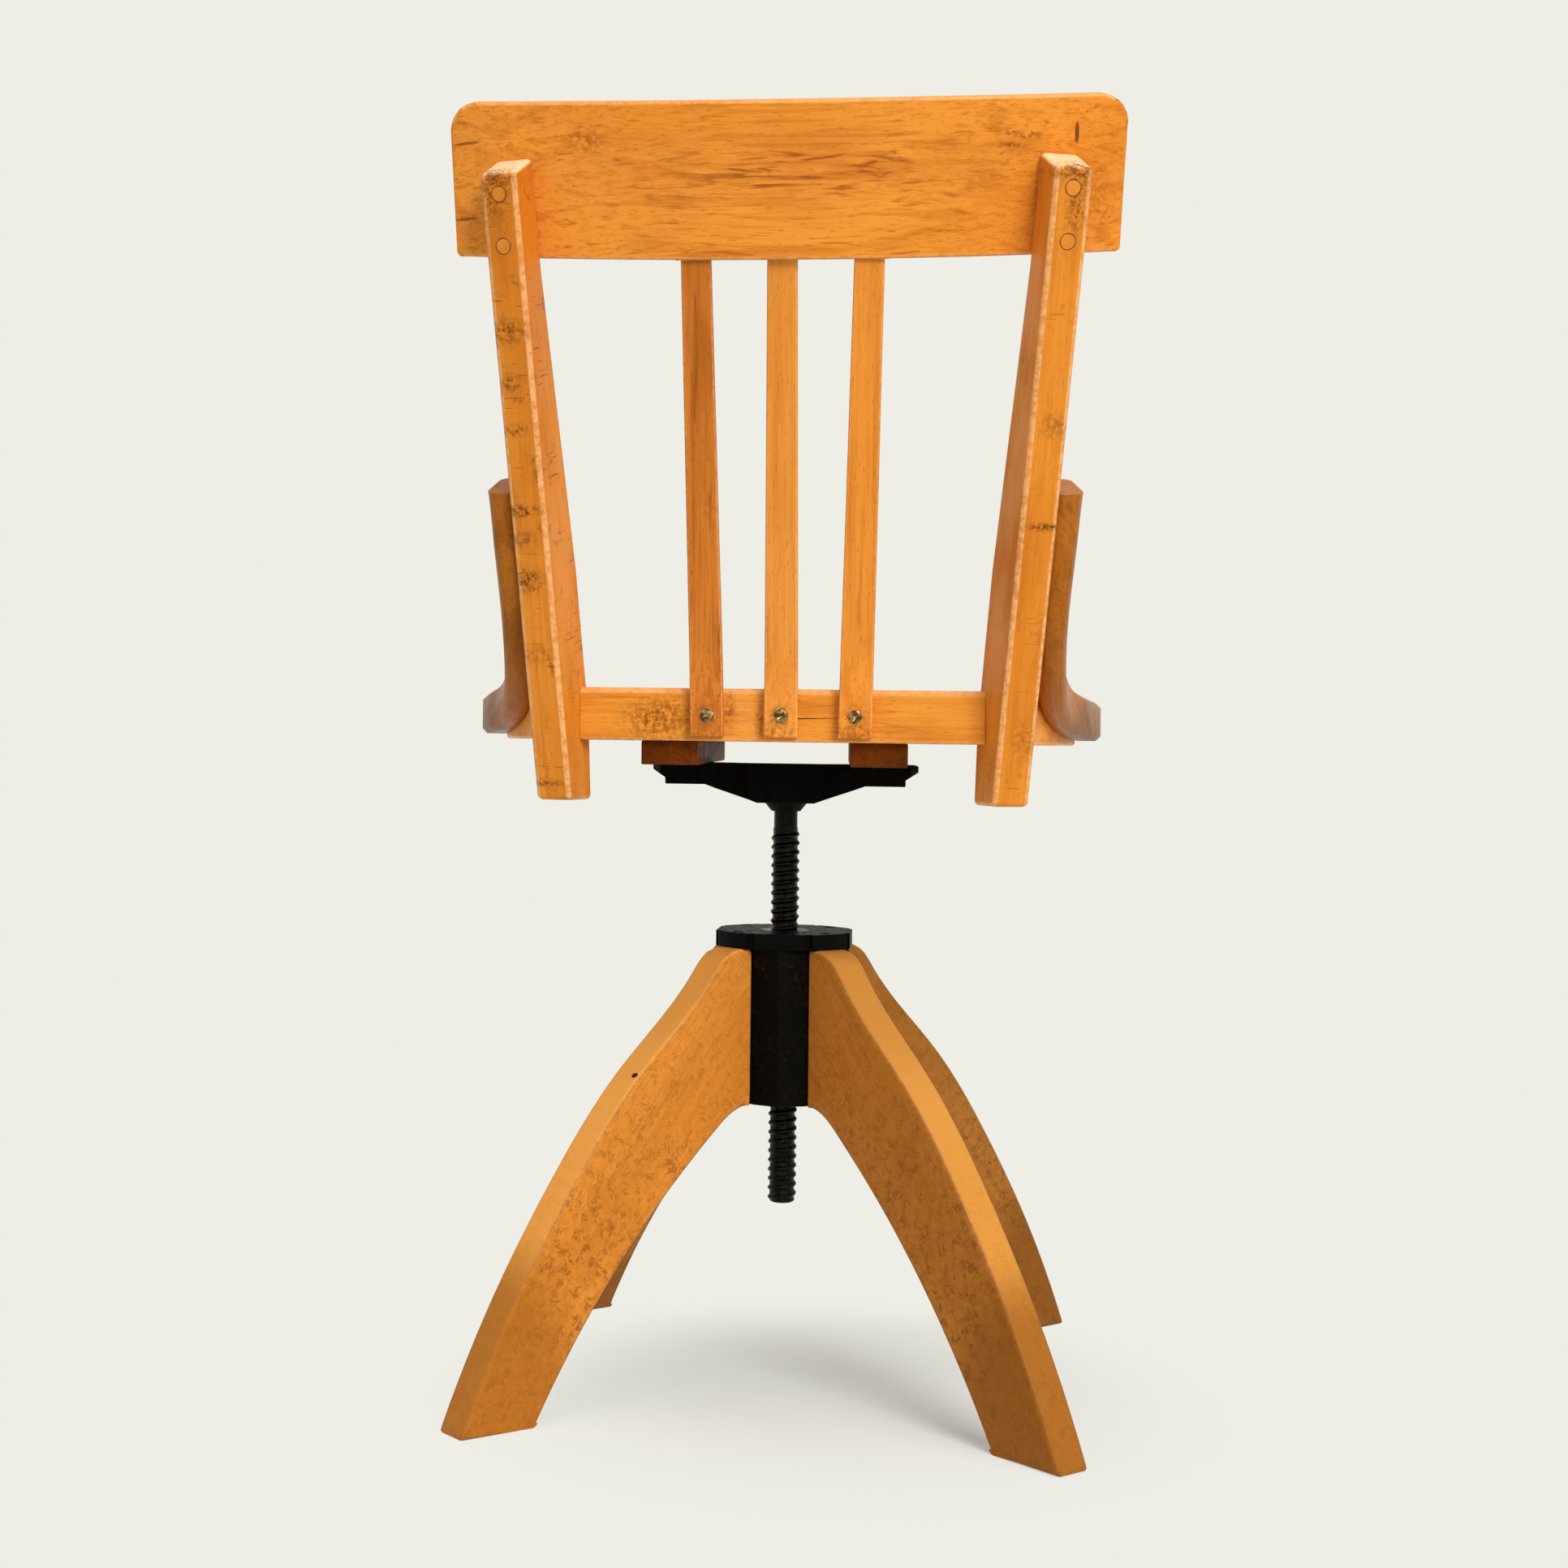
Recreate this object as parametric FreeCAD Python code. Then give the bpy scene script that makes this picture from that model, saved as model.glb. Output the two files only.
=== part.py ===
# Swivel desk chair of solid beech on a four-legged base with a cast hub.
# The seat turns on a coarse screw spindle, so turning it also raises or lowers it.
# Millimetres, +Z up, origin on the floor under the spindle, chair facing -Y.
import FreeCAD, Part
import math
import os

V = FreeCAD.Vector

# Base: legs
leg_count = 4
leg_turn = 42.0              # angle of the first leg from +X, the base as the chair was left
leg_thick = 27.0
foot_outer = 277.0           # spindle axis to the toe
foot_inner = 219.0           # spindle axis to the heel
leg_outer_bow = 19.5         # rise of the outer edge over its chord
leg_inner_bow = 10.0
leg_flat = 12.0              # level top of the leg, beyond the hub
shoulder_run = 22.0
shoulder_drop = 17.0
knee_run = 30.0              # short curve where the under edge leaves the hub
knee_drop = 15.0
curve_run_share = 0.56       # of run and drop, at the middle of those two short curves
curve_drop_share = 0.33
heel_round = 6.0

# Base: cast hub
hub_foot_z = 194.0
hub_top_z = 302.0
hub_flat = 40.0              # axis to the face that a leg is bolted to
hub_flat_margin = 1.0        # face beyond the leg's edge
hub_ridge = 46.0             # axis to the ridge between two legs
hub_ridge_round = 3.0
hub_corner_share = 0.3       # an inset section narrows its flats by this share
hub_wall = 6.0
hub_roof = 14.0              # thick top wall that carries the nut
cap_thick = 11.0
cap_lobe_reach = 48.0
cap_lobe_width = 32.0
cap_lobe_bulge = 1.5
cap_block_reach = 47.0
cap_block_width = 36.0
cap_notch = 3.0

# Spindle and its nut
spindle_dia = 20.0
spindle_foot_z = 121.0
spindle_chamfer = 2.0
thread_top_z = 384.0
neck_dia = 16.6
running_gap = 0.05           # radial running clearance
rest_gap = 0.3               # clearance between faces that move past each other
nut_dia = 34.0
nut_flange_dia = 48.0
nut_flange_thick = 5.0
nut_foot_gap = 2.0           # nut ends this far above the hub's foot

# Cast spider under the seat
spider_top_z = 430.5
spider_boss_z = 397.0
spider_boss_dia = 40.0
spider_reach = 92.0          # axis to the tip of a pad
spider_tip_step = 9.0        # the pad thins to its tip over this run
spider_pad_start = 12.0      # the pad's flat starts this far inside the batten's middle line
spider_pad_lap = 1.0         # the pads are as wide as the battens and this much more
spider_arm_x = 26.0          # half width of the narrow waist
spider_tip_cut = 8.0         # corners cut from the pads
spider_pad_half = 46.0       # half depth of the pads, front to back
spider_waist_half = 24.0
spider_slope_z = 403.0       # underside of the arms at the boss
spider_pad_z = 416.0         # underside of the pads
spider_tip_thick = 4.5
spider_plate = 6.0           # plate left above the cored pockets
spider_rib = 7.0
spider_wall = 2.0            # round the spindle's neck and beside the cored pockets
spider_boss_step = 6.0       # the boss is full this far above the arms' underside
pin_dia = 5.0

# Seat frame
batten_thick = 15.5
batten_inner = 49.0
batten_outer = 85.5
batten_shift = 4.5           # both battens sit this far to the sitter's left
batten_lap = 16.0            # how far a batten's rear end runs under the rear rail
batten_front_lap = 12.0
rail_high = 34.0
rail_thick = 24.0
seat_rear = 172.0            # rear face of the rear rail
seat_front = -197.0
front_bow = 14.0             # front edge bows forward by this much over the seat's width
seat_half = 208.0            # half width at the widest place
seat_wide_y = -85.0
seat_rear_half = 157.0       # half width beside the posts
seat_rear_y = 150.0
seat_side_bow = 12.0
front_corner_round = 55.0
rail_edge = 4.0
side_joint_y = -120.0        # where the side rails meet the front rail
panel_thick = 13.0
panel_ledge = 11.0           # width of the rebate that the panel lies on
panel_fit = 0.2
dish_depth = 6.0
dish_half = 132.0
dish_steps = 4               # easy slopes from the rim of the dish to its middle
dish_sides = 36
block_leg = 42.0             # legs of a rear corner block, along the side and along the rail
block_long = 55.0
block_near = 40.0            # a front block runs from this to that far from its corner
block_far = 84.0
block_gap = 2.0
block_high = 18.0

# Crest rail
crest_low_z = 736.0          # lower edge at the middle
crest_high = 94.0            # height along the rake
crest_thick = 19.0
crest_rake = 17.0            # degrees back from upright
crest_radius = 545.0         # radius of the rear face, square to the rake
crest_rear_y = 268.0         # rear face at the middle of the lower edge
crest_top_half = 206.5
crest_low_half = 204.0
crest_top_round = 18.0
crest_low_round = 4.0
crest_edge = 3.0

# Back posts
post_foot_z = 407.0
post_top_z = 801.0           # front of the sloped top
post_wide = 24.5
post_seat_x = 162.0          # outer rear arris at seat height
post_splay = 0.070           # outward lean, run over rise
post_depth_foot = 34.0
post_depth_seat = 42.0
post_depth_top = 28.0
post_full_low_z = 462.0      # the post keeps its full depth between these
post_full_high_z = 556.0
post_top_slope = 27.0

# Slats
slat_count = 3
slat_thick = 8.5
slat_low_wide = 21.7
slat_top_wide = 18.3
slat_low_pitch = 47.0
slat_top_pitch = 52.6
slat_foot_z = 448.5
slat_bend_z = 492.0
slat_tenon = 14.0
slat_screw_z = 462.5

# Bentwood hip braces
brace_thick = 18.0
brace_wide = 27.0
brace_round = 6.0
brace_top_z = 606.0
brace_leave_z = 536.0        # the brace leaves the post here
brace_run_z = 463.0
brace_touch_y = 62.0         # the brace meets the seat's edge here
brace_front_y = -78.0
brace_run_steps = 3          # places that hold it to the seat's edge
brace_lift = 2.0             # it is still this much higher where it meets the edge
brace_bend = ((0.16, 0.03, 0.36), (0.38, 0.17, 0.67), (0.68, 0.48, 0.90))   # shares of the way forward, out, down
brace_sections = 13

# Screws, bolts and plugs
cap_screw_reach = 43.0
screw_dia = 5.0
screw_head_dia = 9.0
screw_head_high = 2.8
screw_sides = 8
cap_screw_long = 38.0
leg_bolt_dia = 7.0
leg_bolt_head = 12.0
leg_bolt_head_high = 5.0
leg_bolt_long = 42.0
leg_bolt_inset = 24.0        # from the two ends of the hub's hollow
spider_screw_y = 34.0
spider_screw_long = 24.0
batten_screw_long = 33.0
slat_screw_long = 26.0
crest_screw_long = 34.0
plug_dia = 10.0
plug_long = 7.0
plug_low_z = 745.0
plug_high_z = 775.0
brace_screw_long = 30.0
brace_screw_y = (18.0, -52.0)
slat_screw_proud = 0.4
plug_sides = 24

# Places that follow from the sizes above
seat_low_z = spider_top_z + batten_thick
seat_top_z = seat_low_z + rail_high
cap_top_z = hub_top_z + cap_thick
batten_x = (batten_inner + batten_outer) / 2
front_radius = (seat_half ** 2 + front_bow ** 2) / (2 * front_bow)
rake_sin = math.sin(math.radians(crest_rake))
rake_cos = math.cos(math.radians(crest_rake))


def polar(radius, degrees, z=0.0):
    a = math.radians(degrees)
    return V(radius * math.cos(a), radius * math.sin(a), z)


def line(a, b):
    return Part.LineSegment(a, b).toShape()


def arc(a, b, c):
    return Part.Arc(a, b, c).toShape()


def smooth(points):
    """One smooth curve through the points."""
    curve = Part.BSplineCurve()
    curve.interpolate(points)
    return curve.toShape()


def face_of(edges):
    return Part.Face(Part.Wire(edges))


def polygon(points):
    return Part.Face(Part.makePolygon(points + [points[0]]))


def turned(shape, degrees):
    copy = shape.copy()
    copy.rotate(V(0, 0, 0), V(0, 0, 1), degrees)
    return copy


def mirrored(shape):
    return shape.mirror(V(0, 0, 0), V(1, 0, 0))


def rounded(shape, edges, radius):
    return shape.makeFillet(radius, edges)


def ring_points(centre, axis, radius, sides):
    """Corners of a regular polygon square to the axis."""
    across = V(1, 0, 0) if abs(axis.z) > 0.9 else axis.cross(V(0, 0, 1))
    across.normalize()
    other = axis.cross(across)
    turns = [2 * math.pi * (i + 0.5) / sides for i in range(sides)]
    return [centre + across * (radius * math.cos(t)) + other * (radius * math.sin(t)) for t in turns]


def faceted(centre, axis, steps, sides):
    """Solid of flat faces about an axis: steps holds a distance along it and a radius for each ring."""
    rings = [ring_points(centre + axis * along, axis, radius, sides) for along, radius in steps]
    faces = [polygon(rings[0]), polygon(rings[-1])]
    for low, high in zip(rings, rings[1:]):
        for i in range(sides):
            j = (i + 1) % sides
            faces.append(polygon([low[i], low[j], high[j], high[i]]))
    return Part.Solid(Part.makeShell(faces))


def wood_screw(head_at, direction, long):
    """Countersunk screw, drawn with few sides: its head's flat top lies at head_at."""
    axis = V(direction)
    axis.normalize()
    steps = ((0, screw_head_dia / 2), (screw_head_high, screw_dia / 2),
             (long - screw_dia, screw_dia / 2), (long, screw_dia / 8))
    return faceted(head_at, axis, steps, screw_sides)


def cut_all(shape, tools):
    return shape.cut(tools) if tools else shape


# Legs
def leg_outline():
    top_a = V(hub_flat, 0, hub_top_z)
    top_b = V(hub_flat + leg_flat, 0, hub_top_z)
    shoulder = V(top_b.x + shoulder_run, 0, hub_top_z - shoulder_drop)
    toe = V(foot_outer, 0, 0)
    heel = V(foot_inner, 0, 0)
    knee = V(hub_flat + knee_run, 0, hub_foot_z - knee_drop)
    low = V(hub_flat, 0, hub_foot_z)

    def out_of(a, b):
        d = b - a
        d.normalize()
        return V(-d.z, 0, d.x) if -d.z > 0 else V(d.z, 0, -d.x)

    def along_bow(a, b, bow):
        """Three points between a and b on a bow towards the outside."""
        return [a + (b - a) * f + out_of(a, b) * (4 * bow * f * (1 - f)) for f in (0.25, 0.5, 0.75)]

    shoulder_mid = V(top_b.x + curve_run_share * shoulder_run, 0, hub_top_z - curve_drop_share * shoulder_drop)
    knee_mid = V(hub_flat + curve_run_share * knee_run, 0, hub_foot_z - curve_drop_share * knee_drop)
    outer = [top_b, shoulder_mid, shoulder] + along_bow(shoulder, toe, leg_outer_bow) + [toe]
    under = [heel] + along_bow(heel, knee, leg_inner_bow) + [knee, knee_mid, low]
    return face_of([line(top_a, top_b), smooth(outer), line(toe, heel), smooth(under), line(low, top_a)])


def make_leg():
    face = leg_outline()
    face.translate(V(0, -leg_thick / 2, 0))
    leg = face.extrude(V(0, leg_thick, 0))
    heel = [e for e in leg.Edges
            if abs(e.BoundBox.XMin - foot_inner) < 0.01 and abs(e.BoundBox.XMax - foot_inner) < 0.01
            and e.BoundBox.ZMax < 0.01]
    return rounded(leg, heel, heel_round)


# Hub
def hub_section(inset):
    """Section of the column: a flat for each leg and a low ridge between two flats."""
    points = []
    half = leg_thick / 2 + hub_flat_margin - inset * hub_corner_share
    for k in range(leg_count):
        face_at = leg_turn + 360.0 / leg_count * k
        out = polar(1, face_at)
        along = polar(1, face_at + 90)
        points.append(out * (hub_flat - inset) - along * half)
        points.append(out * (hub_flat - inset) + along * half)
        points.append(polar(hub_ridge - inset, face_at + 180.0 / leg_count))
    return polygon(points)


def make_column(bolts):
    height = hub_top_z - hub_foot_z
    outside = hub_section(0)
    outside.translate(V(0, 0, hub_foot_z))
    column = outside.extrude(V(0, 0, height))
    ridges = [e for e in column.Edges
              if abs(e.Length - height) < 0.01
              and abs(math.hypot(e.CenterOfMass.x, e.CenterOfMass.y) - hub_ridge) < 0.01]
    column = rounded(column, ridges, hub_ridge_round)
    hollow = hub_section(hub_wall)
    hollow.translate(V(0, 0, hub_foot_z - 1))
    column = column.cut(hollow.extrude(V(0, 0, height - hub_roof + 1)))
    bore = Part.makeCylinder(nut_dia / 2 + running_gap, height, V(0, 0, hub_foot_z + 1))
    seat = Part.makeCylinder(nut_flange_dia / 2 + rest_gap, nut_flange_thick + 2 * rest_gap + 1,
                             V(0, 0, hub_top_z - nut_flange_thick - 2 * rest_gap))
    return cut_all(column, [bore, seat, bolts])


def make_cap(screws):
    """Lobed cap: four lobes over the legs, four flat blocks between, a small hollow at each change."""
    edges = []
    corners = []
    step = 360.0 / leg_count
    for k in range(leg_count):
        for degrees, reach, wide, bulge in (
                (leg_turn + step * k, cap_lobe_reach, cap_lobe_width, cap_lobe_bulge),
                (leg_turn + step * (k + 0.5), cap_block_reach, cap_block_width, 0.0)):
            out = polar(1, degrees)
            along = polar(1, degrees + 90)
            corners.append((out * reach - along * wide / 2, out * reach + along * wide / 2,
                            out * (reach + bulge), bulge))
    for i, (first, last, crown, bulge) in enumerate(corners):
        edges.append(arc(first, crown, last) if bulge else line(first, last))
        following = corners[(i + 1) % len(corners)][0]
        middle = (last + following) * 0.5
        edges.append(arc(last, middle * (1 - cap_notch / middle.Length), following))
    plate = face_of(edges)
    plate.translate(V(0, 0, hub_top_z))
    cap = plate.extrude(V(0, 0, cap_thick))
    bore = Part.makeCylinder(nut_dia / 2 + running_gap, cap_thick + 2, V(0, 0, hub_top_z - 1))
    return cut_all(cap, [bore, screws])


def make_nut():
    foot = hub_foot_z + nut_foot_gap
    sleeve = Part.makeCylinder(nut_dia / 2, cap_top_z - foot, V(0, 0, foot))
    flange = Part.makeCylinder(nut_flange_dia / 2, nut_flange_thick,
                               V(0, 0, hub_top_z - nut_flange_thick - rest_gap))
    nut = sleeve.fuse(flange).removeSplitter()
    bore = Part.makeCylinder(spindle_dia / 2 + running_gap, cap_top_z - foot + 2, V(0, 0, foot - 1))
    return nut.cut(bore)


def make_cap_screws():
    screws = []
    for k in range(leg_count):
        at = polar(cap_screw_reach, leg_turn + 360.0 / leg_count * k, cap_top_z)
        screws.append(wood_screw(at, V(0, 0, -1), cap_screw_long))
    return Part.makeCompound(screws)


def make_leg_bolts():
    """Hexagon-headed bolts, put through the hub's wall from its open foot and into the legs."""
    bolts = []
    inside = hub_flat - hub_wall
    for k in range(leg_count):
        degrees = leg_turn + 360.0 / leg_count * k
        out = polar(1, degrees)
        for z in (hub_foot_z + leg_bolt_inset, hub_top_z - hub_roof - leg_bolt_inset):
            head = faceted(polar(inside - leg_bolt_head_high, degrees, z), out,
                           ((0, leg_bolt_head / 2), (leg_bolt_head_high, leg_bolt_head / 2)), 6)
            shank = faceted(polar(inside, degrees, z), out,
                            ((0, leg_bolt_dia / 2), (leg_bolt_long, leg_bolt_dia / 2)), screw_sides)
            bolts.append(head.fuse(shank).removeSplitter())
    return Part.makeCompound(bolts)


# Spindle and spider
def make_spindle():
    r = spindle_dia / 2
    n = neck_dia / 2
    top = spider_top_z - spider_tip_thick
    edges = [
        line(V(0, 0, spindle_foot_z), V(r - spindle_chamfer, 0, spindle_foot_z)),
        line(V(r - spindle_chamfer, 0, spindle_foot_z), V(r, 0, spindle_foot_z + spindle_chamfer)),
        line(V(r, 0, spindle_foot_z + spindle_chamfer), V(r, 0, thread_top_z)),
        line(V(r, 0, thread_top_z), V(n, 0, thread_top_z + (r - n))),
        line(V(n, 0, thread_top_z + (r - n)), V(n, 0, top)),
        line(V(n, 0, top), V(0, 0, top)),
        line(V(0, 0, top), V(0, 0, spindle_foot_z))]
    return face_of(edges).revolve(V(0, 0, 0), V(0, 0, 1), 360)


def make_spider(screws, pin, spindle):
    """Cast arms with a stepped pad under each batten, deep at the boss and cored from below."""
    side = [
        V(spider_reach, 0, spider_top_z),
        V(spider_reach, 0, spider_top_z - spider_tip_thick),
        V(spider_reach - spider_tip_step, 0, spider_pad_z + spider_tip_thick),
        V(spider_reach - spider_tip_step, 0, spider_pad_z),
        V(batten_x - spider_pad_start, 0, spider_pad_z),
        V(spider_boss_dia / 2, 0, spider_slope_z)]
    left = [V(-p.x, 0, p.z) for p in reversed(side)]
    profile = polygon(side + left)
    depth = spider_pad_half
    profile.translate(V(0, -depth, 0))
    body = profile.extrude(V(0, 2 * depth, 0))
    w = spider_waist_half
    x_in = batten_inner - spider_pad_lap
    plan_half = [V(spider_arm_x, w, 0), V(x_in, depth, 0), V(spider_reach - spider_tip_cut * 0.75, depth, 0),
                 V(spider_reach, depth - spider_tip_cut, 0)]
    plan = plan_half + [V(p.x, -p.y, 0) for p in reversed(plan_half)]
    plan += [V(-p.x, -p.y, 0) for p in plan_half] + [V(-p.x, p.y, 0) for p in reversed(plan_half)]
    plan_face = polygon(plan)
    plan_face.translate(V(0, 0, spider_boss_z))
    body = body.common(plan_face.extrude(V(0, 0, spider_top_z - spider_boss_z)))
    floor_z = spider_top_z - spider_plate
    for sx in (-1, 1):
        for sy in (-1, 1):
            pocket = polygon([
                V(sx * (spider_boss_dia / 2 + spider_wall), sy * spider_rib / 2, 0),
                V(sx * (x_in + spider_wall), sy * spider_rib / 2, 0),
                V(sx * (x_in + spider_wall), sy * (depth - 2 * spider_rib), 0),
                V(sx * (spider_boss_dia / 2 + spider_wall), sy * (w - spider_rib), 0)])
            pocket.translate(V(0, 0, spider_boss_z))
            body = body.cut(pocket.extrude(V(0, 0, floor_z - spider_boss_z)))
    full_z = spider_slope_z + spider_boss_step
    boss = Part.makeCone(neck_dia / 2 + spider_wall, spider_boss_dia / 2, full_z - spider_boss_z,
                         V(0, 0, spider_boss_z))
    core = Part.makeCylinder(spider_boss_dia / 2, spider_top_z - full_z, V(0, 0, full_z))
    body = body.fuse([boss, core]).removeSplitter()
    return cut_all(body, [screws, pin, spindle])


def make_spider_pin():
    z = (spider_slope_z + spider_top_z) / 2 - spider_wall
    half = spider_boss_dia / 2
    ends = ((0, pin_dia / 2), (2 * half, pin_dia / 2))
    return faceted(V(0, -half, z), V(0, 1, 0), ends, 2 * screw_sides)


def make_spider_screws():
    screws = []
    for sx in (-1, 1):
        for sy in (-1, 1):
            at = V(sx * batten_x + batten_shift, sy * spider_screw_y, spider_pad_z)
            screws.append(wood_screw(at, V(0, 0, 1), spider_screw_long))
    return Part.makeCompound(screws)


# Crest rail, posts and slats
def crest_y(x, z):
    """Place of the crest's rear face, carried on up or down along its rake."""
    drop = crest_radius - math.sqrt(crest_radius ** 2 - x ** 2)
    along = (z - crest_low_z - drop * rake_sin) / rake_cos
    return crest_rear_y + along * rake_sin - drop * rake_cos


def make_crest():
    """A bow cut upright from a curved band, then leaned back about the middle of its lower edge."""
    half = crest_top_half + crest_thick
    end = math.asin(half / crest_radius)

    def band_arc(radius):
        return [V(radius * math.sin(a), radius * math.cos(a) - crest_radius, 0) for a in (-end, 0, end)]

    a0, a1, a2 = band_arc(crest_radius)
    b0, b1, b2 = band_arc(crest_radius - crest_thick)
    band = face_of([arc(a0, a1, a2), line(a2, b2), arc(b2, b1, b0), line(b0, a0)])
    board = band.extrude(V(0, 0, crest_high))
    deep = crest_radius
    corners = [V(-crest_low_half, -deep, 0), V(crest_low_half, -deep, 0),
               V(crest_top_half, -deep, crest_high), V(-crest_top_half, -deep, crest_high)]
    outline = polygon(corners).extrude(V(0, 2 * deep, 0))
    for radius, is_top in ((crest_top_round, True), (crest_low_round, False)):
        lengthwise = [e for e in outline.Edges if abs(e.Length - 2 * deep) < 0.01]
        picked = [e for e in lengthwise if abs(e.CenterOfMass.z - crest_high * is_top) < 1.0]
        outline = rounded(outline, picked, radius)
    crest = board.common(outline)
    crest.rotate(V(0, 0, 0), V(1, 0, 0), -crest_rake)
    crest.translate(V(0, crest_rear_y, crest_low_z))
    return crest


def post_angle():
    """Turn of the post about +Z that lays its front face on the crest."""
    x = post_x(plug_high_z) - post_wide / 2 - post_depth_top * 0.3
    return math.atan(math.tan(math.asin(x / crest_radius)) / rake_cos)


def post_x(z):
    return post_seat_x + (z - seat_top_z) * post_splay


def post_frame(z):
    """Outer rear arris of the post at height z, with its rearward and outward directions."""
    a = post_angle()
    back = V(math.sin(a), math.cos(a), 0)
    out = V(math.cos(a), -math.sin(a), 0)
    offset = back * post_depth_top + out * (post_wide / 2)

    def on_crest(height):
        face_x = post_x(height) - offset.x
        return V(face_x, crest_y(face_x, height), height) + offset

    low = on_crest(crest_low_z)
    high = on_crest(post_top_z)
    return low + (high - low) * ((z - crest_low_z) / (post_top_z - crest_low_z)), back, out


def post_depth(z):
    if z <= post_full_low_z:
        f = (z - post_foot_z) / (post_full_low_z - post_foot_z)
        return post_depth_foot + f * (post_depth_seat - post_depth_foot)
    if z <= post_full_high_z:
        return post_depth_seat
    f = min(1.0, (z - post_full_high_z) / (crest_low_z - post_full_high_z))
    return post_depth_seat + f * (post_depth_top - post_depth_seat)


def post_blank(extra):
    """The left post's side view carried through its width; extra thickens it to the front."""
    corner, back, out = post_frame(post_foot_z)
    rear_top_z = post_top_z - post_depth_top * math.tan(math.radians(post_top_slope))
    points = [corner, post_frame(rear_top_z)[0]]
    for z in (post_top_z, crest_low_z, post_full_high_z, post_full_low_z, post_foot_z):
        points.append(post_frame(z)[0] - back * (post_depth(z) + extra))
    return polygon(points).extrude(out * -post_wide)


def slat_side():
    """Side view of a slat: flat against the rail, then an easy bend to the back's rake."""
    y0 = seat_rear
    top_z = crest_low_z + slat_tenon
    top_y = crest_y(0, top_z) - (crest_thick + slat_thick) / 2 / rake_cos
    bend = slat_bend_z
    front_foot = V(0, y0, slat_foot_z)
    front_bend = V(0, y0, seat_top_z - rail_edge)
    lean = math.atan2(top_y - y0, top_z - bend)
    along = V(0, math.sin(lean), math.cos(lean))
    out = V(0, math.cos(lean), -math.sin(lean))
    front_after = V(0, y0, bend) + along * (bend - front_bend.z)
    front_top = V(0, top_y, top_z)
    half = V(0, math.cos(lean / 2), -math.sin(lean / 2))
    bend_radius = (bend - front_bend.z) / math.tan(lean / 2)
    mid_front = V(0, y0, bend) + half * (bend_radius * (1 / math.cos(lean / 2) - 1))
    back_foot = front_foot + V(0, slat_thick, 0)
    back_bend = front_bend + V(0, slat_thick, 0)
    back_after = front_after + out * slat_thick
    back_top = front_top + out * slat_thick
    return face_of([
        line(front_foot, front_bend),
        arc(front_bend, mid_front, front_after),
        line(front_after, front_top),
        line(front_top, back_top),
        line(back_top, back_after),
        arc(back_after, mid_front + half * slat_thick, back_bend),
        line(back_bend, back_foot),
        line(back_foot, front_foot)])


def make_slat(place):
    """place is -1, 0 or 1 across the back."""
    body = slat_side()
    reach = slat_top_pitch + slat_low_wide
    body.translate(V(-1.5 * reach, 0, 0))
    body = body.extrude(V(3 * reach, 0, 0))
    low_x = place * slat_low_pitch
    top_x = place * slat_top_pitch
    top_z = crest_low_z + slat_tenon
    front = polygon([
        V(low_x - slat_low_wide / 2, 0, slat_foot_z - 1), V(low_x + slat_low_wide / 2, 0, slat_foot_z - 1),
        V(top_x + slat_top_wide / 2, 0, top_z + 1), V(top_x - slat_top_wide / 2, 0, top_z + 1)])
    return body.common(front.extrude(V(0, 2 * crest_rear_y, 0)))


# Seat frame
def seat_side_arc(offset):
    """Three points of the seat's left edge in plan, moved outward by offset."""
    rear = V(seat_rear_half + offset, seat_rear_y, 0)
    wide = V(seat_half + offset, seat_wide_y, 0)
    chord = wide - rear
    chord.normalize()
    middle = (rear + wide) * 0.5 + V(-chord.y, chord.x, 0) * seat_side_bow
    return rear, middle, wide


def seat_edge_x(y, offset=0.0):
    """Half width of the seat at y, on the circle through the side's three points."""
    a, b, c = seat_side_arc(offset)
    circle = arc(a, b, c).Curve
    dy = y - circle.Center.y
    return circle.Center.x + math.sqrt(circle.Radius ** 2 - dy ** 2)


def seat_normal(y):
    """Outward direction square to the seat's edge at y."""
    out = V(1.0, seat_edge_x(y - 1.0) - seat_edge_x(y), 0)
    out.normalize()
    return out


def front_edge_y(x, inset):
    return seat_front - front_bow + front_radius - math.sqrt((front_radius - inset) ** 2 - x ** 2)


def seat_outline(inset):
    """The seat in plan: bowed sides, and a bowed front met by round corners that touch both."""
    rear, middle, wide = seat_side_arc(-inset)
    corner = front_corner_round - inset
    corner_x = wide.x - corner
    bow_centre = V(0, seat_front - front_bow + front_radius, 0)
    reach = front_radius - front_corner_round
    centre = V(corner_x, bow_centre.y - math.sqrt(reach ** 2 - corner_x ** 2), 0)
    side_low = centre + V(corner, 0, 0)
    ahead = centre - bow_centre
    ahead.normalize()
    front_a = centre + ahead * corner
    between = ahead + V(1, 0, 0)
    between.normalize()
    turn = centre + between * corner
    nose = V(0, front_edge_y(0, inset), 0)
    back_y = seat_rear - inset
    back = V(rear.x, back_y, 0)

    def flip(p):
        return V(-p.x, p.y, 0)

    return face_of([
        line(flip(back), back), line(back, rear), arc(rear, middle, wide), line(wide, side_low),
        arc(side_low, turn, front_a), arc(front_a, nose, flip(front_a)),
        arc(flip(front_a), flip(turn), flip(side_low)), line(flip(side_low), flip(wide)),
        arc(flip(wide), flip(middle), flip(rear)), line(flip(rear), flip(back))])


def prism(face, low_z, high_z):
    copy = face.copy()
    copy.translate(V(0, 0, low_z))
    return copy.extrude(V(0, 0, high_z - low_z))


def frame_slice(y_low, y_high, x_low=-2 * seat_half):
    """Box round the seat frame between two places front to back, to cut its members from the ring."""
    return Part.makeBox(2 * seat_half - x_low, y_high - y_low, 3 * rail_high,
                        V(x_low, y_low, seat_low_z - rail_high))


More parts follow.
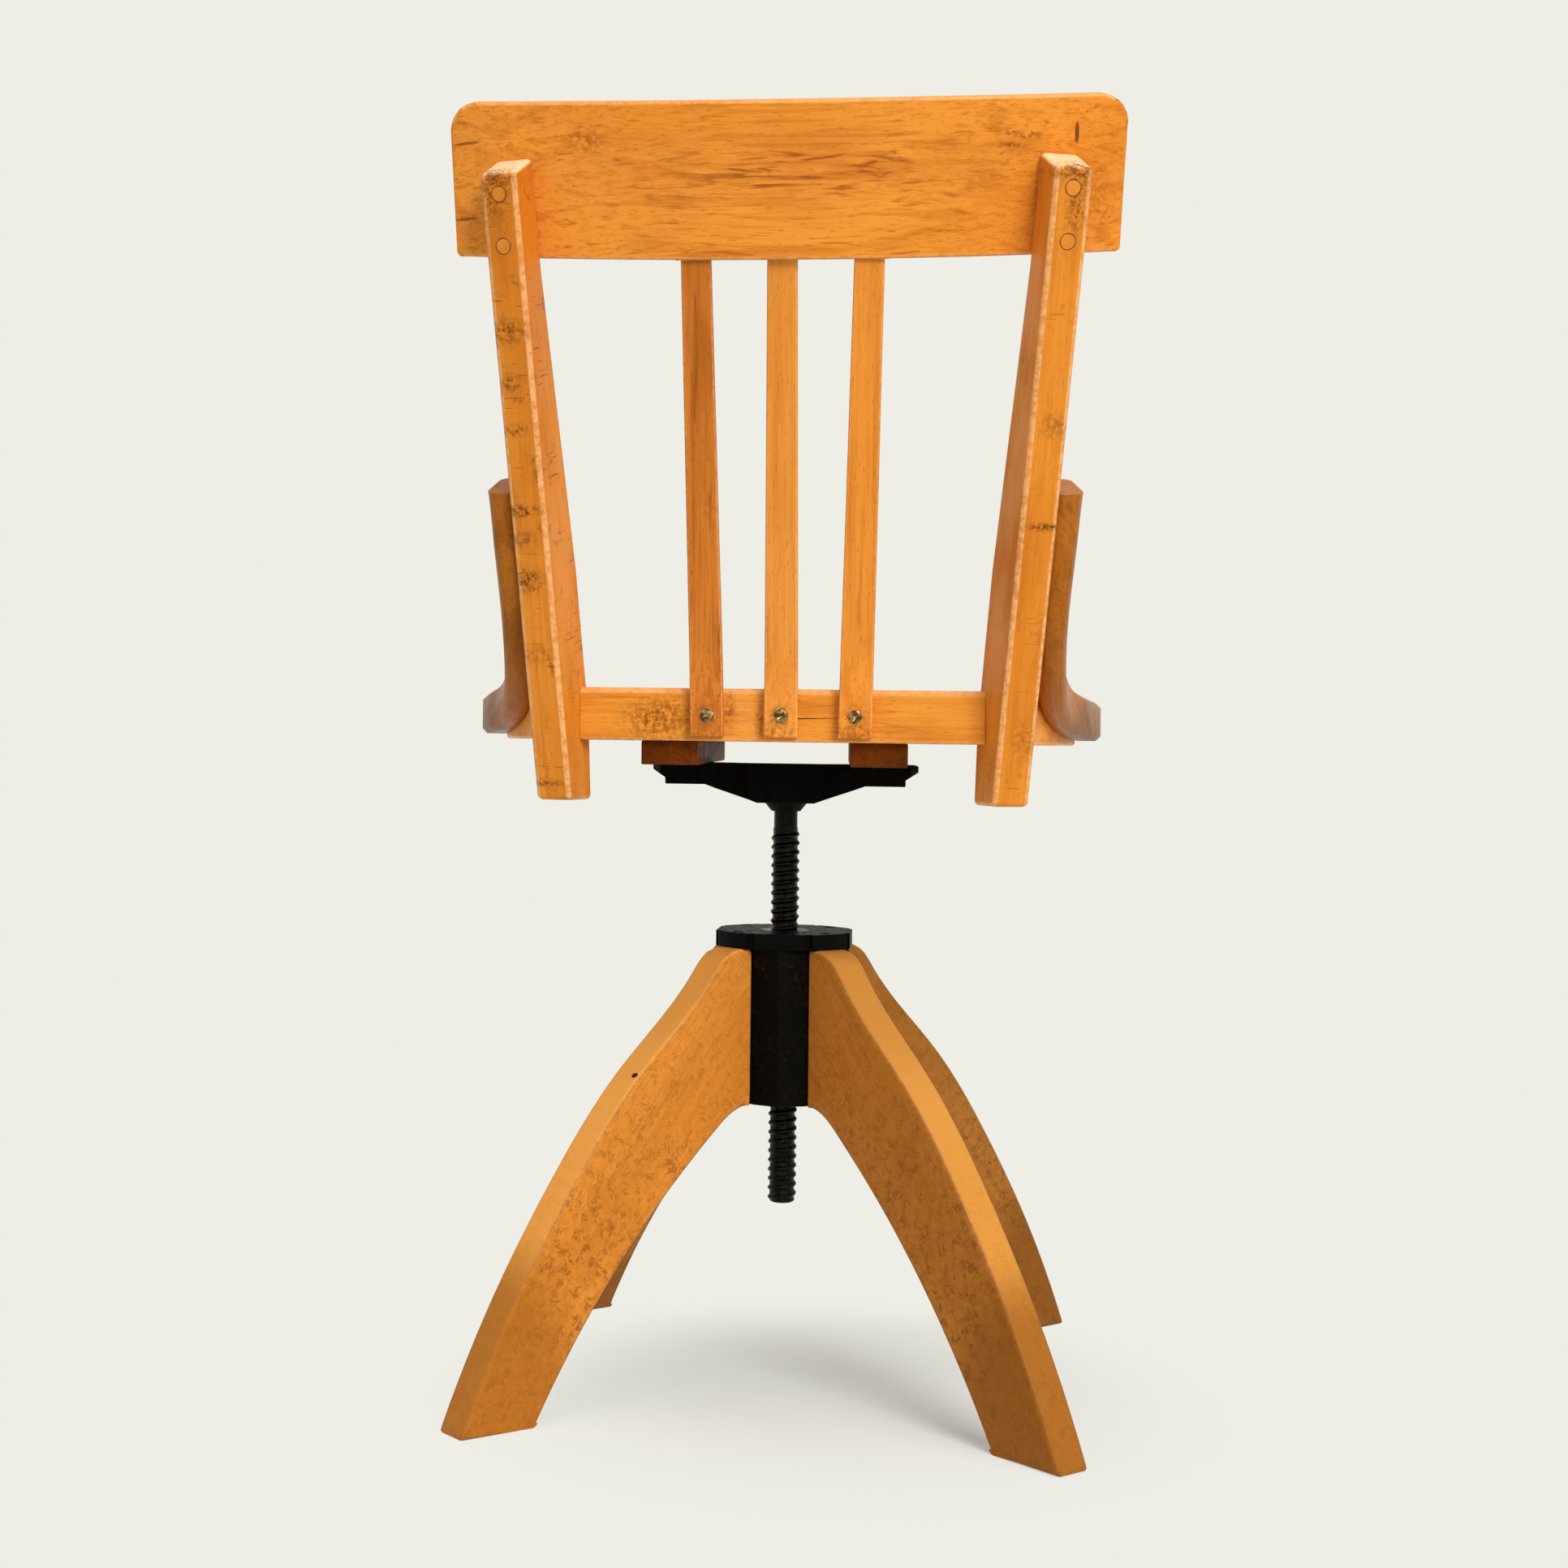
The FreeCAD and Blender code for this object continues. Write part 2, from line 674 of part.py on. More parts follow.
def make_frame_ring():
    ring = prism(seat_outline(0), seat_low_z, seat_top_z)
    ring = ring.cut(prism(seat_outline(rail_thick), seat_low_z - 1, seat_top_z + 1))
    ledge = prism(seat_outline(rail_thick - panel_ledge), seat_top_z - panel_thick, seat_top_z + 1)
    return ring.cut(ledge)


def make_panel():
    panel = prism(seat_outline(rail_thick - panel_ledge + panel_fit), seat_top_z - panel_thick, seat_top_z)
    centre = V(0, (seat_rear + seat_front) / 2, seat_top_z)
    shares = [i / dish_steps for i in range(dish_steps, 0, -1)]
    slopes = [(dish_depth * (1 - f * f), dish_half * f) for f in shares]
    return panel.cut(faceted(centre, V(0, 0, -1), slopes, dish_sides))


def make_corner_blocks(frame):
    """Glued triangular blocks inside the four corners of the frame."""
    blocks = []
    high = seat_top_z - panel_thick
    rear_y = seat_rear - rail_thick
    rear_x = seat_edge_x(rear_y - block_leg) - rail_thick - block_gap
    front_x = seat_half - rail_thick - panel_fit
    front_y = front_edge_y(front_x - block_near, rail_thick) + panel_fit
    for sx in (-1, 1):
        rear = polygon([V(sx * (rear_x - block_long), rear_y, 0), V(sx * rear_x, rear_y, 0),
                        V(sx * rear_x, rear_y - block_leg, 0)])
        front = polygon([V(sx * front_x, front_y + block_far, 0), V(sx * front_x, front_y + block_near, 0),
                         V(sx * (front_x - block_near), front_y, 0), V(sx * (front_x - block_far), front_y, 0)])
        for block in (rear, front):
            blocks.append(prism(block, high - block_high, high).cut(frame))
    return Part.makeCompound([b.Solids[0] for b in blocks])


def batten_ends():
    return seat_rear - rail_thick + batten_lap, seat_front + rail_thick - front_bow - batten_front_lap


def make_batten(side, screws):
    rear, front = batten_ends()
    box = Part.makeBox(batten_outer - batten_inner, rear - front, batten_thick,
                       V(batten_inner, front, spider_top_z))
    batten = box if side > 0 else mirrored(box)
    batten.translate(V(batten_shift, 0, 0))
    return cut_all(batten, screws)


def make_batten_screws():
    screws = []
    rear, front = batten_ends()
    for sx in (-1, 1):
        for y in (rear - batten_lap / 2, front + batten_front_lap / 2):
            at = V(sx * batten_x + batten_shift, y, spider_top_z)
            screws.append(wood_screw(at, V(0, 0, 1), batten_screw_long))
    return Part.makeCompound(screws)


# Braces
def brace_points():
    """Centre of the left brace with the outward direction of its flat face at each place."""
    places = []
    for z in (brace_top_z, (brace_top_z + brace_leave_z) / 2, brace_leave_z):
        corner, back, out = post_frame(z)
        centre = corner - back * (post_depth(z) / 2) + out * (brace_thick / 2)
        places.append((centre, out))
    start, start_out = places[-1]
    touch_out = seat_normal(brace_touch_y)
    end = V(seat_edge_x(brace_touch_y), brace_touch_y, brace_run_z + brace_lift) + touch_out * (brace_thick / 2)
    way = end - start
    for forward, outward, down in brace_bend:
        out = start_out * (1 - forward) + touch_out * forward
        out.normalize()
        places.append((start + V(way.x * outward, way.y * forward, way.z * down), out))
    places.append((end, touch_out))
    for i in range(1, brace_run_steps + 1):
        y = brace_touch_y + (brace_front_y - brace_touch_y) * i / brace_run_steps
        out = seat_normal(y)
        places.append((V(seat_edge_x(y), y, brace_run_z) + out * (brace_thick / 2), out))
    return places


def brace_section(centre, out, along):
    """Rectangle across the brace with its corners taken off."""
    wide = out.cross(along)
    wide.normalize()
    thick = along.cross(wide)
    a = brace_thick / 2
    b = brace_wide / 2
    r = brace_round * (2 - math.sqrt(2))
    places = [(a, b - r), (a - r, b), (-a + r, b), (-a, b - r), (-a, -b + r), (-a + r, -b), (a - r, -b), (a, -b + r)]
    points = [centre + thick * u + wide * v for u, v in places]
    return Part.makePolygon(points + [points[0]])


def make_brace(post, rail):
    """Bentwood brace: sections set along one smooth line, each facing the way its place asks."""
    places = brace_points()
    spine = smooth([centre for centre, out in places])
    knots = [spine.Curve.parameter(centre) for centre, out in places]
    sections = []
    for i in range(brace_sections):
        at = knots[0] + (knots[-1] - knots[0]) * i / (brace_sections - 1)
        j = max(k for k in range(len(knots) - 1) if knots[k] <= at)
        share = (at - knots[j]) / (knots[j + 1] - knots[j])
        out = places[j][1] * (1 - share) + places[j + 1][1] * share
        along = spine.tangentAt(at)
        out.normalize()
        along.normalize()
        sections.append(brace_section(spine.valueAt(at), out, along))
    brace = Part.makeLoft(sections, True, False, False, 3)
    brace = brace.cut([post, rail])
    return max(brace.Solids, key=lambda s: s.Volume)


def make_brace_screws():
    screws = []
    corner, back, out = post_frame((brace_top_z + brace_leave_z) / 2)
    at = corner - back * (post_depth(corner.z) / 2) + out * brace_thick
    screws.append(wood_screw(at, out * -1, brace_screw_long))
    for y in brace_screw_y:
        normal = seat_normal(y)
        at = V(seat_edge_x(y), y, brace_run_z) + normal * brace_thick
        screws.append(wood_screw(at, normal * -1, brace_screw_long))
    return screws


def post_rear_point(z):
    """Middle of the post's rear face at height z, and the way into the wood, square to the face."""
    corner, back, out = post_frame(z)
    below, _, _ = post_frame(z - 10.0)
    rise = corner - below
    rise.normalize()
    inward = out.cross(rise)
    inward.normalize()
    if inward.dot(back) > 0:
        inward = inward * -1
    return corner - out * (post_wide / 2), inward


def make_plugs():
    plugs = []
    for z in (plug_low_z, plug_high_z):
        at, inward = post_rear_point(z)
        plugs.append(faceted(at, inward, ((0, plug_dia / 2), (plug_long, plug_dia / 2)), plug_sides))
    return plugs


def make_crest_screws():
    screws = []
    for z in (plug_low_z, plug_high_z):
        at, inward = post_rear_point(z)
        screws.append(wood_screw(at + inward * plug_long, inward, crest_screw_long))
    return screws


def make_slat_screws():
    screws = []
    for place in range(slat_count):
        x = (place - (slat_count - 1) / 2) * slat_low_pitch
        at = V(x, seat_rear + slat_thick + slat_screw_proud, slat_screw_z)
        screws.append(wood_screw(at, V(0, -1, 0), slat_screw_long))
    return Part.makeCompound(screws)


# Assembly
nodes = {}

cap_screws = make_cap_screws()
leg_bolts = make_leg_bolts()
leg = make_leg()
leg_names = ("leg_rear_left", "leg_rear_right", "leg_front_right", "leg_front_left")
for k, name in enumerate(leg_names):
    placed = turned(leg, leg_turn + 360.0 / leg_count * k)
    nodes[name] = cut_all(placed, [cap_screws, leg_bolts])
nodes["hub_column"] = make_column(leg_bolts)
nodes["hub_cap"] = make_cap(cap_screws)
nodes["cap_screws"] = cap_screws
nodes["leg_bolts"] = leg_bolts
nodes["spindle_nut"] = make_nut()

spider_screws = make_spider_screws()
spider_pin = make_spider_pin()
spindle = make_spindle()
nodes["spindle"] = spindle.cut(spider_pin)
nodes["spider"] = make_spider(spider_screws, spider_pin, spindle)
nodes["spider_pin"] = spider_pin
nodes["spider_screws"] = spider_screws

crest = make_crest()
post_left = post_blank(0)
post_right = mirrored(post_left)
ring = make_frame_ring()
slats = [make_slat(place) for place in (1, 0, -1)]
slat_screws = make_slat_screws()
batten_screws = make_batten_screws()
plugs = make_plugs()
crest_screws = make_crest_screws()
brace_screws = make_brace_screws()
plugs += [mirrored(p) for p in plugs]
crest_screws += [mirrored(s) for s in crest_screws]
all_brace_screws = brace_screws + [mirrored(s) for s in brace_screws]

posts = [post_left, post_right]
thick_post = post_blank(rail_thick)
rear_part = ring.common(frame_slice(seat_rear - rail_thick, seat_rear + 1))
rear_part = rear_part.cut([thick_post, mirrored(thick_post)])
rear_rail = min(rear_part.Solids, key=lambda s: abs(s.CenterOfMass.x))
top_edge = [e for e in rear_rail.Edges
            if e.BoundBox.ZMin > seat_top_z - 0.01 and e.BoundBox.YMin > seat_rear - 0.01]
rear_rail = rounded(rear_rail, top_edge, rail_edge)
side_part = ring.common(frame_slice(side_joint_y, seat_rear + 1, 0.0))
side_left = side_part.cut([post_left, rear_part])
side_left = max(side_left.Solids, key=lambda s: s.Volume)
front_rail = ring.common(frame_slice(seat_front - 2 * front_bow, side_joint_y))
brace_left = make_brace(post_left, side_left)

frame_members = [rear_rail, side_left, mirrored(side_left), front_rail]
for name, batten_side in (("batten_left", 1), ("batten_right", -1)):
    nodes[name] = make_batten(batten_side, [batten_screws, spider_screws])
nodes["batten_screws"] = batten_screws
nodes["rear_rail"] = cut_all(rear_rail, [batten_screws, slat_screws])
nodes["side_rail_left"] = cut_all(side_left, all_brace_screws)
nodes["side_rail_right"] = cut_all(mirrored(side_left), all_brace_screws)
nodes["front_rail"] = cut_all(front_rail, batten_screws)
nodes["corner_blocks"] = make_corner_blocks(frame_members + posts)
nodes["seat_panel"] = make_panel().cut(posts)
nodes["post_left"] = cut_all(post_left, plugs + crest_screws + all_brace_screws)
nodes["post_right"] = cut_all(post_right, plugs + crest_screws + all_brace_screws)
nodes["crest_rail"] = cut_all(crest, slats + crest_screws)
nodes["crest_screws"] = Part.makeCompound(crest_screws)
nodes["crest_plugs"] = Part.makeCompound(plugs)
for name, slat in zip(("slat_left", "slat_middle", "slat_right"), slats):
    nodes[name] = cut_all(slat, slat_screws)
nodes["slat_screws"] = slat_screws
nodes["hip_brace_left"] = cut_all(brace_left, all_brace_screws)
nodes["hip_brace_right"] = cut_all(mirrored(brace_left), all_brace_screws)
nodes["brace_screws"] = Part.makeCompound(all_brace_screws)

os.makedirs("parts", exist_ok=True)
for name, shape in nodes.items():
    box = shape.BoundBox
    print("%-18s solids %d valid %s volume %9.0f  x %7.1f %7.1f  y %7.1f %7.1f  z %7.1f %7.1f" % (
        name, len(shape.Solids), shape.isValid(), shape.Volume,
        box.XMin, box.XMax, box.YMin, box.YMax, box.ZMin, box.ZMax))
    shape.exportStep("parts/%s.step" % name)
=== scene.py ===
import bpy
import bmesh
import math
from mathutils import Matrix, Vector


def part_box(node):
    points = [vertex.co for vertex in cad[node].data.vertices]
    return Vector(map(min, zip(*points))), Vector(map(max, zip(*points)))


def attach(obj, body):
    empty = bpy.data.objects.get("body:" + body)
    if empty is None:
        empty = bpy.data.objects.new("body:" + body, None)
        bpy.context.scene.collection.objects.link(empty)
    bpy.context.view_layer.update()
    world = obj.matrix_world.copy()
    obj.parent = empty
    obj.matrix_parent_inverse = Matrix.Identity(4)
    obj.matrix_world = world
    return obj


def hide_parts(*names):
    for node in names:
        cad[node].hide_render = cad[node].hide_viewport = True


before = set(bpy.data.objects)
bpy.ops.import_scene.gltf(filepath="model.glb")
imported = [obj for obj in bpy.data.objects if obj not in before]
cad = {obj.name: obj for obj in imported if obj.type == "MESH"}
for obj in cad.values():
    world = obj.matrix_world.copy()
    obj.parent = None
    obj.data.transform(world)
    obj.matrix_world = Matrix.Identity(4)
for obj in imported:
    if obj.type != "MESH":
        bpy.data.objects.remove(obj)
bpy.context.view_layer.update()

print("frame loaded,", len(cad), "pieces")

# camera, solved from the feet, the hub, the straight rail and the crest
photoSize = 1932
cameraSpot = {
    "place": (-0.0372, 1.6846, 0.4479),
    "yaw": 5.87,            # degrees off the chair's middle plane
    "pitch": 1.43,
    "roll": 0.75,
    "focalPixels": 2907,
    "axisPixel": (736.1, 835.3),
}


def makeCamera(spot):
    yaw, pitch, roll = (math.radians(spot[k]) for k in ("yaw", "pitch", "roll"))
    ahead = Vector((math.sin(yaw) * math.cos(pitch), -math.cos(yaw) * math.cos(pitch), math.sin(pitch)))
    right = ahead.cross(Vector((0, 0, 1))).normalized()
    up = right.cross(ahead)
    rolledRight = right * math.cos(roll) + up * math.sin(roll)
    rolledUp = up * math.cos(roll) - right * math.sin(roll)
    turn = Matrix((rolledRight, rolledUp, -ahead)).transposed()
    data = bpy.data.cameras.new("photoCamera")
    data.sensor_fit = "HORIZONTAL"
    data.sensor_width = 36.0
    data.lens = spot["focalPixels"] * 36.0 / photoSize
    data.shift_x = 0.5 - spot["axisPixel"][0] / photoSize
    data.shift_y = spot["axisPixel"][1] / photoSize - 0.5
    camera = bpy.data.objects.new("photoCamera", data)
    camera.matrix_world = Matrix.Translation(Vector(spot["place"])) @ turn.to_4x4()
    bpy.context.scene.collection.objects.link(camera)
    bpy.context.scene.camera = camera


makeCamera(cameraSpot)
print("camera placed")


# small helpers for node trees
def startMaterial(name):
    material = bpy.data.materials.new(name)
    material.use_nodes = True
    tree = material.node_tree
    tree.nodes.clear()
    output = tree.nodes.new("ShaderNodeOutputMaterial")
    shader = tree.nodes.new("ShaderNodeBsdfPrincipled")
    tree.links.new(shader.outputs[0], output.inputs[0])
    return material, tree, shader


def feed(tree, socket, value):
    if isinstance(value, bpy.types.NodeSocket):
        tree.links.new(value, socket)
    else:
        socket.default_value = value


def calc(tree, operation, a, b=0.0, clamp=False):
    node = tree.nodes.new("ShaderNodeMath")
    node.operation = operation
    node.use_clamp = clamp
    for socket, value in zip(node.inputs, (a, b)):
        feed(tree, socket, value)
    return node.outputs[0]


def product(tree, *values, clamp=False):
    result = values[0]
    for value in values[1:-1]:
        result = calc(tree, "MULTIPLY", result, value)
    return calc(tree, "MULTIPLY", result, values[-1], clamp=clamp)


def remap(tree, value, low, high, toLow=0.0, toHigh=1.0):
    node = tree.nodes.new("ShaderNodeMapRange")
    node.interpolation_type = "SMOOTHSTEP"
    for socket, number in zip(node.inputs, (value, low, high, toLow, toHigh)):
        feed(tree, socket, number)
    return node.outputs[0]


def noise(tree, vector, scale, detail=2.0, rough=0.5, distort=0.0):
    node = tree.nodes.new("ShaderNodeTexNoise")
    feed(tree, node.inputs["Vector"], vector)
    node.inputs["Scale"].default_value = scale
    node.inputs["Detail"].default_value = detail
    node.inputs["Roughness"].default_value = rough
    node.inputs["Distortion"].default_value = distort
    return node.outputs["Fac"]


def blend(tree, factor, a, b, way="MIX"):
    node = tree.nodes.new("ShaderNodeMix")
    node.data_type = "RGBA"
    node.blend_type = way
    feed(tree, node.inputs[0], factor)
    for socket, value in ((node.inputs[6], a), (node.inputs[7], b)):
        if isinstance(value, tuple):
            value = (*value, 1.0)
        feed(tree, socket, value)
    return node.outputs[2]


def placed(tree, vector, scale=(1, 1, 1), spin=(0, 0, 0), shift=(0, 0, 0)):
    node = tree.nodes.new("ShaderNodeMapping")
    feed(tree, node.inputs["Vector"], vector)
    node.inputs["Location"].default_value = shift
    node.inputs["Rotation"].default_value = spin
    node.inputs["Scale"].default_value = scale
    return node.outputs[0]


def objectPoint(tree):
    return tree.nodes.new("ShaderNodeTexCoord").outputs["Object"]


def bump(tree, shader, height, strength, distance):
    node = tree.nodes.new("ShaderNodeBump")
    node.inputs["Strength"].default_value = strength
    node.inputs["Distance"].default_value = distance
    feed(tree, node.inputs["Height"], height)
    tree.links.new(node.outputs[0], shader.inputs["Normal"])


def partOf(tree, vector, axis):
    node = tree.nodes.new("ShaderNodeSeparateXYZ")
    tree.links.new(vector, node.inputs[0])
    return node.outputs["XYZ".index(axis)]


def lengthOf(tree, vector):
    node = tree.nodes.new("ShaderNodeVectorMath")
    node.operation = "LENGTH"
    feed(tree, node.inputs[0], vector)
    return node.outputs["Value"]


def axisShare(tree, axis):
    # how far the surface faces along the axis, 0 to 1
    surface = tree.nodes.new("ShaderNodeNewGeometry")
    node = tree.nodes.new("ShaderNodeVectorMath")
    node.operation = "DOT_PRODUCT"
    tree.links.new(surface.outputs["Normal"], node.inputs[0])
    node.inputs[1].default_value = Vector(axis).normalized()
    return calc(tree, "ABSOLUTE", node.outputs["Value"])


def arrisMask(tree, axis):
    # 1 on an arris rounded between a face square to the axis and one along it
    share = axisShare(tree, axis)
    return remap(tree, product(tree, share, calc(tree, "SUBTRACT", 1.0, share)), 0.02, 0.12)


def nearPoint(tree, point, centre, radii, inner):
    # 1 at the centre of an ellipsoid, fading to 0 at its edge
    local = placed(tree, point, scale=tuple(1.0 / r for r in radii),
                   shift=tuple(-c / r for c, r in zip(centre, radii)))
    return remap(tree, lengthOf(tree, local), 1.0, inner)


# beech under an old honey-coloured varnish
beech = {
    "light": (0.92, 0.335, 0.044),
    "middle": (0.86, 0.275, 0.026),
    "dark": (0.50, 0.125, 0.008),
    "stain": (0.26, 0.070, 0.012),
    # pale tone of the arrises: partly bare wood, partly a painted highlight
    "wearAndHighlight": (0.93, 0.50, 0.22),
    "grain": 0.34,          # fine lines along the grain
    "lens": 0.35,           # short reddish streaks
    "fleck": 0.35,          # tiny dark flecks of beech
    "patch": 0.4,           # slow changes of tone
    "scuff": 0.0,           # rubbed and darkened wood, in scuffZone where that is given
    "scuffZone": None,
    "crack": 0.0,           # short cracks in the varnish across the grain
    "curl": 0.0,            # crazed brown curls in the varnish
    "curlZone": (0.0, 0.3), # heights between which the curls fade out
    "arrisAxis": None,
    "worn": 0.6,            # bare wood and a painted highlight on the arrises
    "wornTone": None,
    "upwardHighlight": None,        # painted highlight: faces that look up are painted paler, as the top light falls on them
    "spots": (),            # clear small marks: centre, radii, tone, strength
    "stains": (),           # the same, ragged and fading outwards: stains, and on the rear rail painted slat shadows
    # darkens the whole colour; on the legs it is painted shade
    "shade": 1.0,
    "rough": 0.45,
    "gloss": 0.3,
    "boards": 0.0,          # width of glued boards across X
}


# noise in the wood: scale across and along the grain, detail, roughness, distortion
woodNoise = {
    "always": {
        "slow": (10, 2.4, 3.0, 0.55, 0.5),
        "cloud": (34, 13, 4.0, 0.6),
        "figure": (110, 4.0, 2.0, 0.5, 0.9),
        "lines": (520, 9, 3.0, 0.6, 0.2),
        "streaks": (310, 22, 3.0, 0.6, 0.6),
        "flecks": (1100, 170, 1.0, 0.4),
    },
    "scuff": {
        "scuffArea": (60, 16, 3.0, 0.6),
        "scuffMarks": (270, 27, 4.0, 0.62, 0.7),
    },
    "crack": {
        "cracks": (45, 620, 1.0, 0.4, 0.3),
        "crackArea": (22, 36, 3.0, 0.6),
        "grimeAndShade": (120, 90, 4.0, 0.65, 0.4),
    },
}
# noise in the varnish, the same in every direction: scale, detail, roughness, distortion
varnishNoise = {
    "curls": (150.0, 2.0, 0.5, 1.0),
    "curlArea": (130.0, 3.0, 0.6),
    "mottle": (210.0, 3.0, 0.6),
    "wear": (210.0, 4.0, 0.65),
    "ragged": (330.0, 5.0, 0.7, 0.5),
}
varnish = {
    "reddened": (0.60, 0.155, 0.020),
    "rubbed": (0.33, 0.075, 0.014),
    "mottled": (0.44, 0.145, 0.014),
    "curled": (0.25, 0.075, 0.010),
    "sheen": (1.0, 0.5, 0.16, 1.0),
    "polishRange": (0.08, 0.14),
    "bumpStrength": 0.22,
    "bumpDepth": 0.0006,
}


def addBoards(tree, look, point, colour):
    number = calc(tree, "FLOOR", calc(tree, "DIVIDE", partOf(tree, point, "X"), look["boards"]))
    wild = tree.nodes.new("ShaderNodeTexWhiteNoise")
    wild.noise_dimensions = "1D"
    tree.links.new(number, wild.inputs["W"])
    return blend(tree, product(tree, wild.outputs["Value"], 0.4), colour, look["dark"])


def addScuffs(tree, look, point, grain, colour):
    zone = 1.0
    if look["scuffZone"]:
        zone = nearPoint(tree, point, *look["scuffZone"], 0.1)
        tint = product(tree, zone, remap(tree, grain["cloud"], 0.35, 0.6), 0.42)
        colour = blend(tree, tint, colour, varnish["reddened"])
    area = remap(tree, grain["scuffArea"], 0.36, 0.58)
    marks = remap(tree, grain["scuffMarks"], 0.48, 0.64)
    rubbed = product(tree, marks, area, zone, look["scuff"], clamp=True)
    return blend(tree, rubbed, colour, varnish["rubbed"]), rubbed


def addCracks(tree, look, grain, colour):
    cracks = remap(tree, grain["cracks"], 0.665, 0.70)
    area = remap(tree, grain["crackArea"], 0.46, 0.60)
    grimeAndShade = product(tree, remap(tree, grain["grimeAndShade"], 0.56, 0.68), 0.75)
    marks = product(tree, calc(tree, "MAXIMUM", cracks, grimeAndShade), area, look["crack"], clamp=True)
    return blend(tree, marks, colour, look["stain"])


def addCurls(tree, look, point, seed, colour):
    low, high = look["curlZone"]
    depth = remap(tree, partOf(tree, point, "Z"), high, low, 0.3, 1.0)
    moved = placed(tree, point, shift=(seed, 0, 0))
    bent = calc(tree, "SUBTRACT", noise(tree, moved, *varnishNoise["curls"]), 0.5)
    thread = remap(tree, calc(tree, "ABSOLUTE", bent), 0.085, 0.02)
    area = remap(tree, noise(tree, moved, *varnishNoise["curlArea"]), 0.46, 0.60)
    mottle = remap(tree, noise(tree, moved, *varnishNoise["mottle"]), 0.42, 0.64)
    colour = blend(tree, product(tree, mottle, depth, 0.55), colour, varnish["mottled"])
    return blend(tree, product(tree, thread, area, depth, look["curl"], clamp=True), colour, varnish["curled"])


def addWear(tree, look, point, colour):
    # the arrises are painted pale: partly worn bare wood, partly a painted highlight
    if look["arrisAxis"]:
        broken = remap(tree, noise(tree, point, *varnishNoise["wear"]), 0.38, 0.60)
        broken = remap(tree, broken, 0.0, 1.0, 0.35, 1.0)
        wearAndHighlight = product(tree, arrisMask(tree, look["arrisAxis"]), look["worn"], broken, clamp=True)
        colour = blend(tree, wearAndHighlight, colour, look["wornTone"] or look["wearAndHighlight"])
    # painted highlight: faces that look up are painted paler
    if look["upwardHighlight"]:
        upward = partOf(tree, tree.nodes.new("ShaderNodeNewGeometry").outputs["Normal"], "Z")
        colour = blend(tree, product(tree, remap(tree, upward, 0.25, 0.7), 0.85), colour, look["upwardHighlight"])
    return colour


def addMarks(tree, look, point, colour):
    for centre, radii, tone, strength in look["spots"]:
        spot = nearPoint(tree, point, centre, radii, 0.6)
        colour = blend(tree, product(tree, spot, strength), colour, tone)
    if look["stains"]:
        ragged = remap(tree, noise(tree, point, *varnishNoise["ragged"]), 0.40, 0.60)
    # ragged marks: stains, and on the rear rail also painted slat shadows
    for centre, radii, tone, strength in look["stains"]:
        stain = nearPoint(tree, point, centre, radii, 0.0)
        colour = blend(tree, product(tree, stain, ragged, strength, clamp=True), colour, tone)
    return colour


def woodMaterial(name, along, seed, **changes):
    look = dict(beech, **changes)
    material, tree, shader = startMaterial(name)
    point = objectPoint(tree)
    spin = Vector(along).normalized().rotation_difference(Vector((0, 0, 1))).to_euler()
    turned = placed(tree, point, spin=tuple(spin))
    shift = (seed * 1.37, seed * 0.71, seed * 2.11)
    grain = {}
    for group, layers in woodNoise.items():
        if group == "always" or look[group]:
            for layer, (across, lengthwise, *rest) in layers.items():
                stretched = placed(tree, turned, scale=(across, across, lengthwise), shift=shift)
                grain[layer] = noise(tree, stretched, 1.0, *rest)

    colour = blend(tree, remap(tree, grain["slow"], 0.36, 0.64), look["light"], look["middle"])
    if look["boards"]:
        colour = addBoards(tree, look, point, colour)
    for layer, low, high, strength in (("cloud", 0.46, 0.74, 0.6 * look["patch"]),
                                       ("figure", 0.48, 0.70, 0.9 * look["grain"]),
                                       ("lines", 0.46, 0.72, look["grain"]),
                                       ("streaks", 0.58, 0.70, look["lens"])):
        colour = blend(tree, product(tree, remap(tree, grain[layer], low, high), strength), colour, look["dark"])
    dash = product(tree, remap(tree, grain["flecks"], 0.62, 0.74), look["fleck"])
    colour = blend(tree, dash, colour, look["stain"])
    height = calc(tree, "ADD", product(tree, grain["lines"], 0.5), product(tree, grain["flecks"], 0.3))
    if look["scuff"]:
        colour, rubbed = addScuffs(tree, look, point, grain, colour)
        height = calc(tree, "SUBTRACT", height, product(tree, rubbed, 0.4))
    if look["crack"]:
        colour = addCracks(tree, look, grain, colour)
    if look["curl"]:
        colour = addCurls(tree, look, point, seed, colour)
    colour = addMarks(tree, look, point, addWear(tree, look, point, colour))
    if look["shade"] != 1.0:
        colour = blend(tree, 1.0, colour, (look["shade"],) * 3, "MULTIPLY")

    smoother, rougher = varnish["polishRange"]
    polish = remap(tree, grain["cloud"], 0.35, 0.7, look["rough"] - smoother, look["rough"] + rougher)
    tree.links.new(colour, shader.inputs["Base Color"])
    tree.links.new(polish, shader.inputs["Roughness"])
    shader.inputs["Specular IOR Level"].default_value = look["gloss"]
    shader.inputs["Specular Tint"].default_value = varnish["sheen"]
    bump(tree, shader, height, varnish["bumpStrength"], varnish["bumpDepth"])
    return material


# black paint over the grain of a sand casting, rubbed thin in places
castIron = {
    "paint": (0.0022, 0.0020, 0.0014),
    "rust": (0.030, 0.012, 0.004),
    "rub": (0.012, 0.010, 0.007),
    "rough": 0.46,
    "roughRange": (0.12, 0.15),
    "gloss": 0.035,
    "bumpDepth": 0.0010,
}


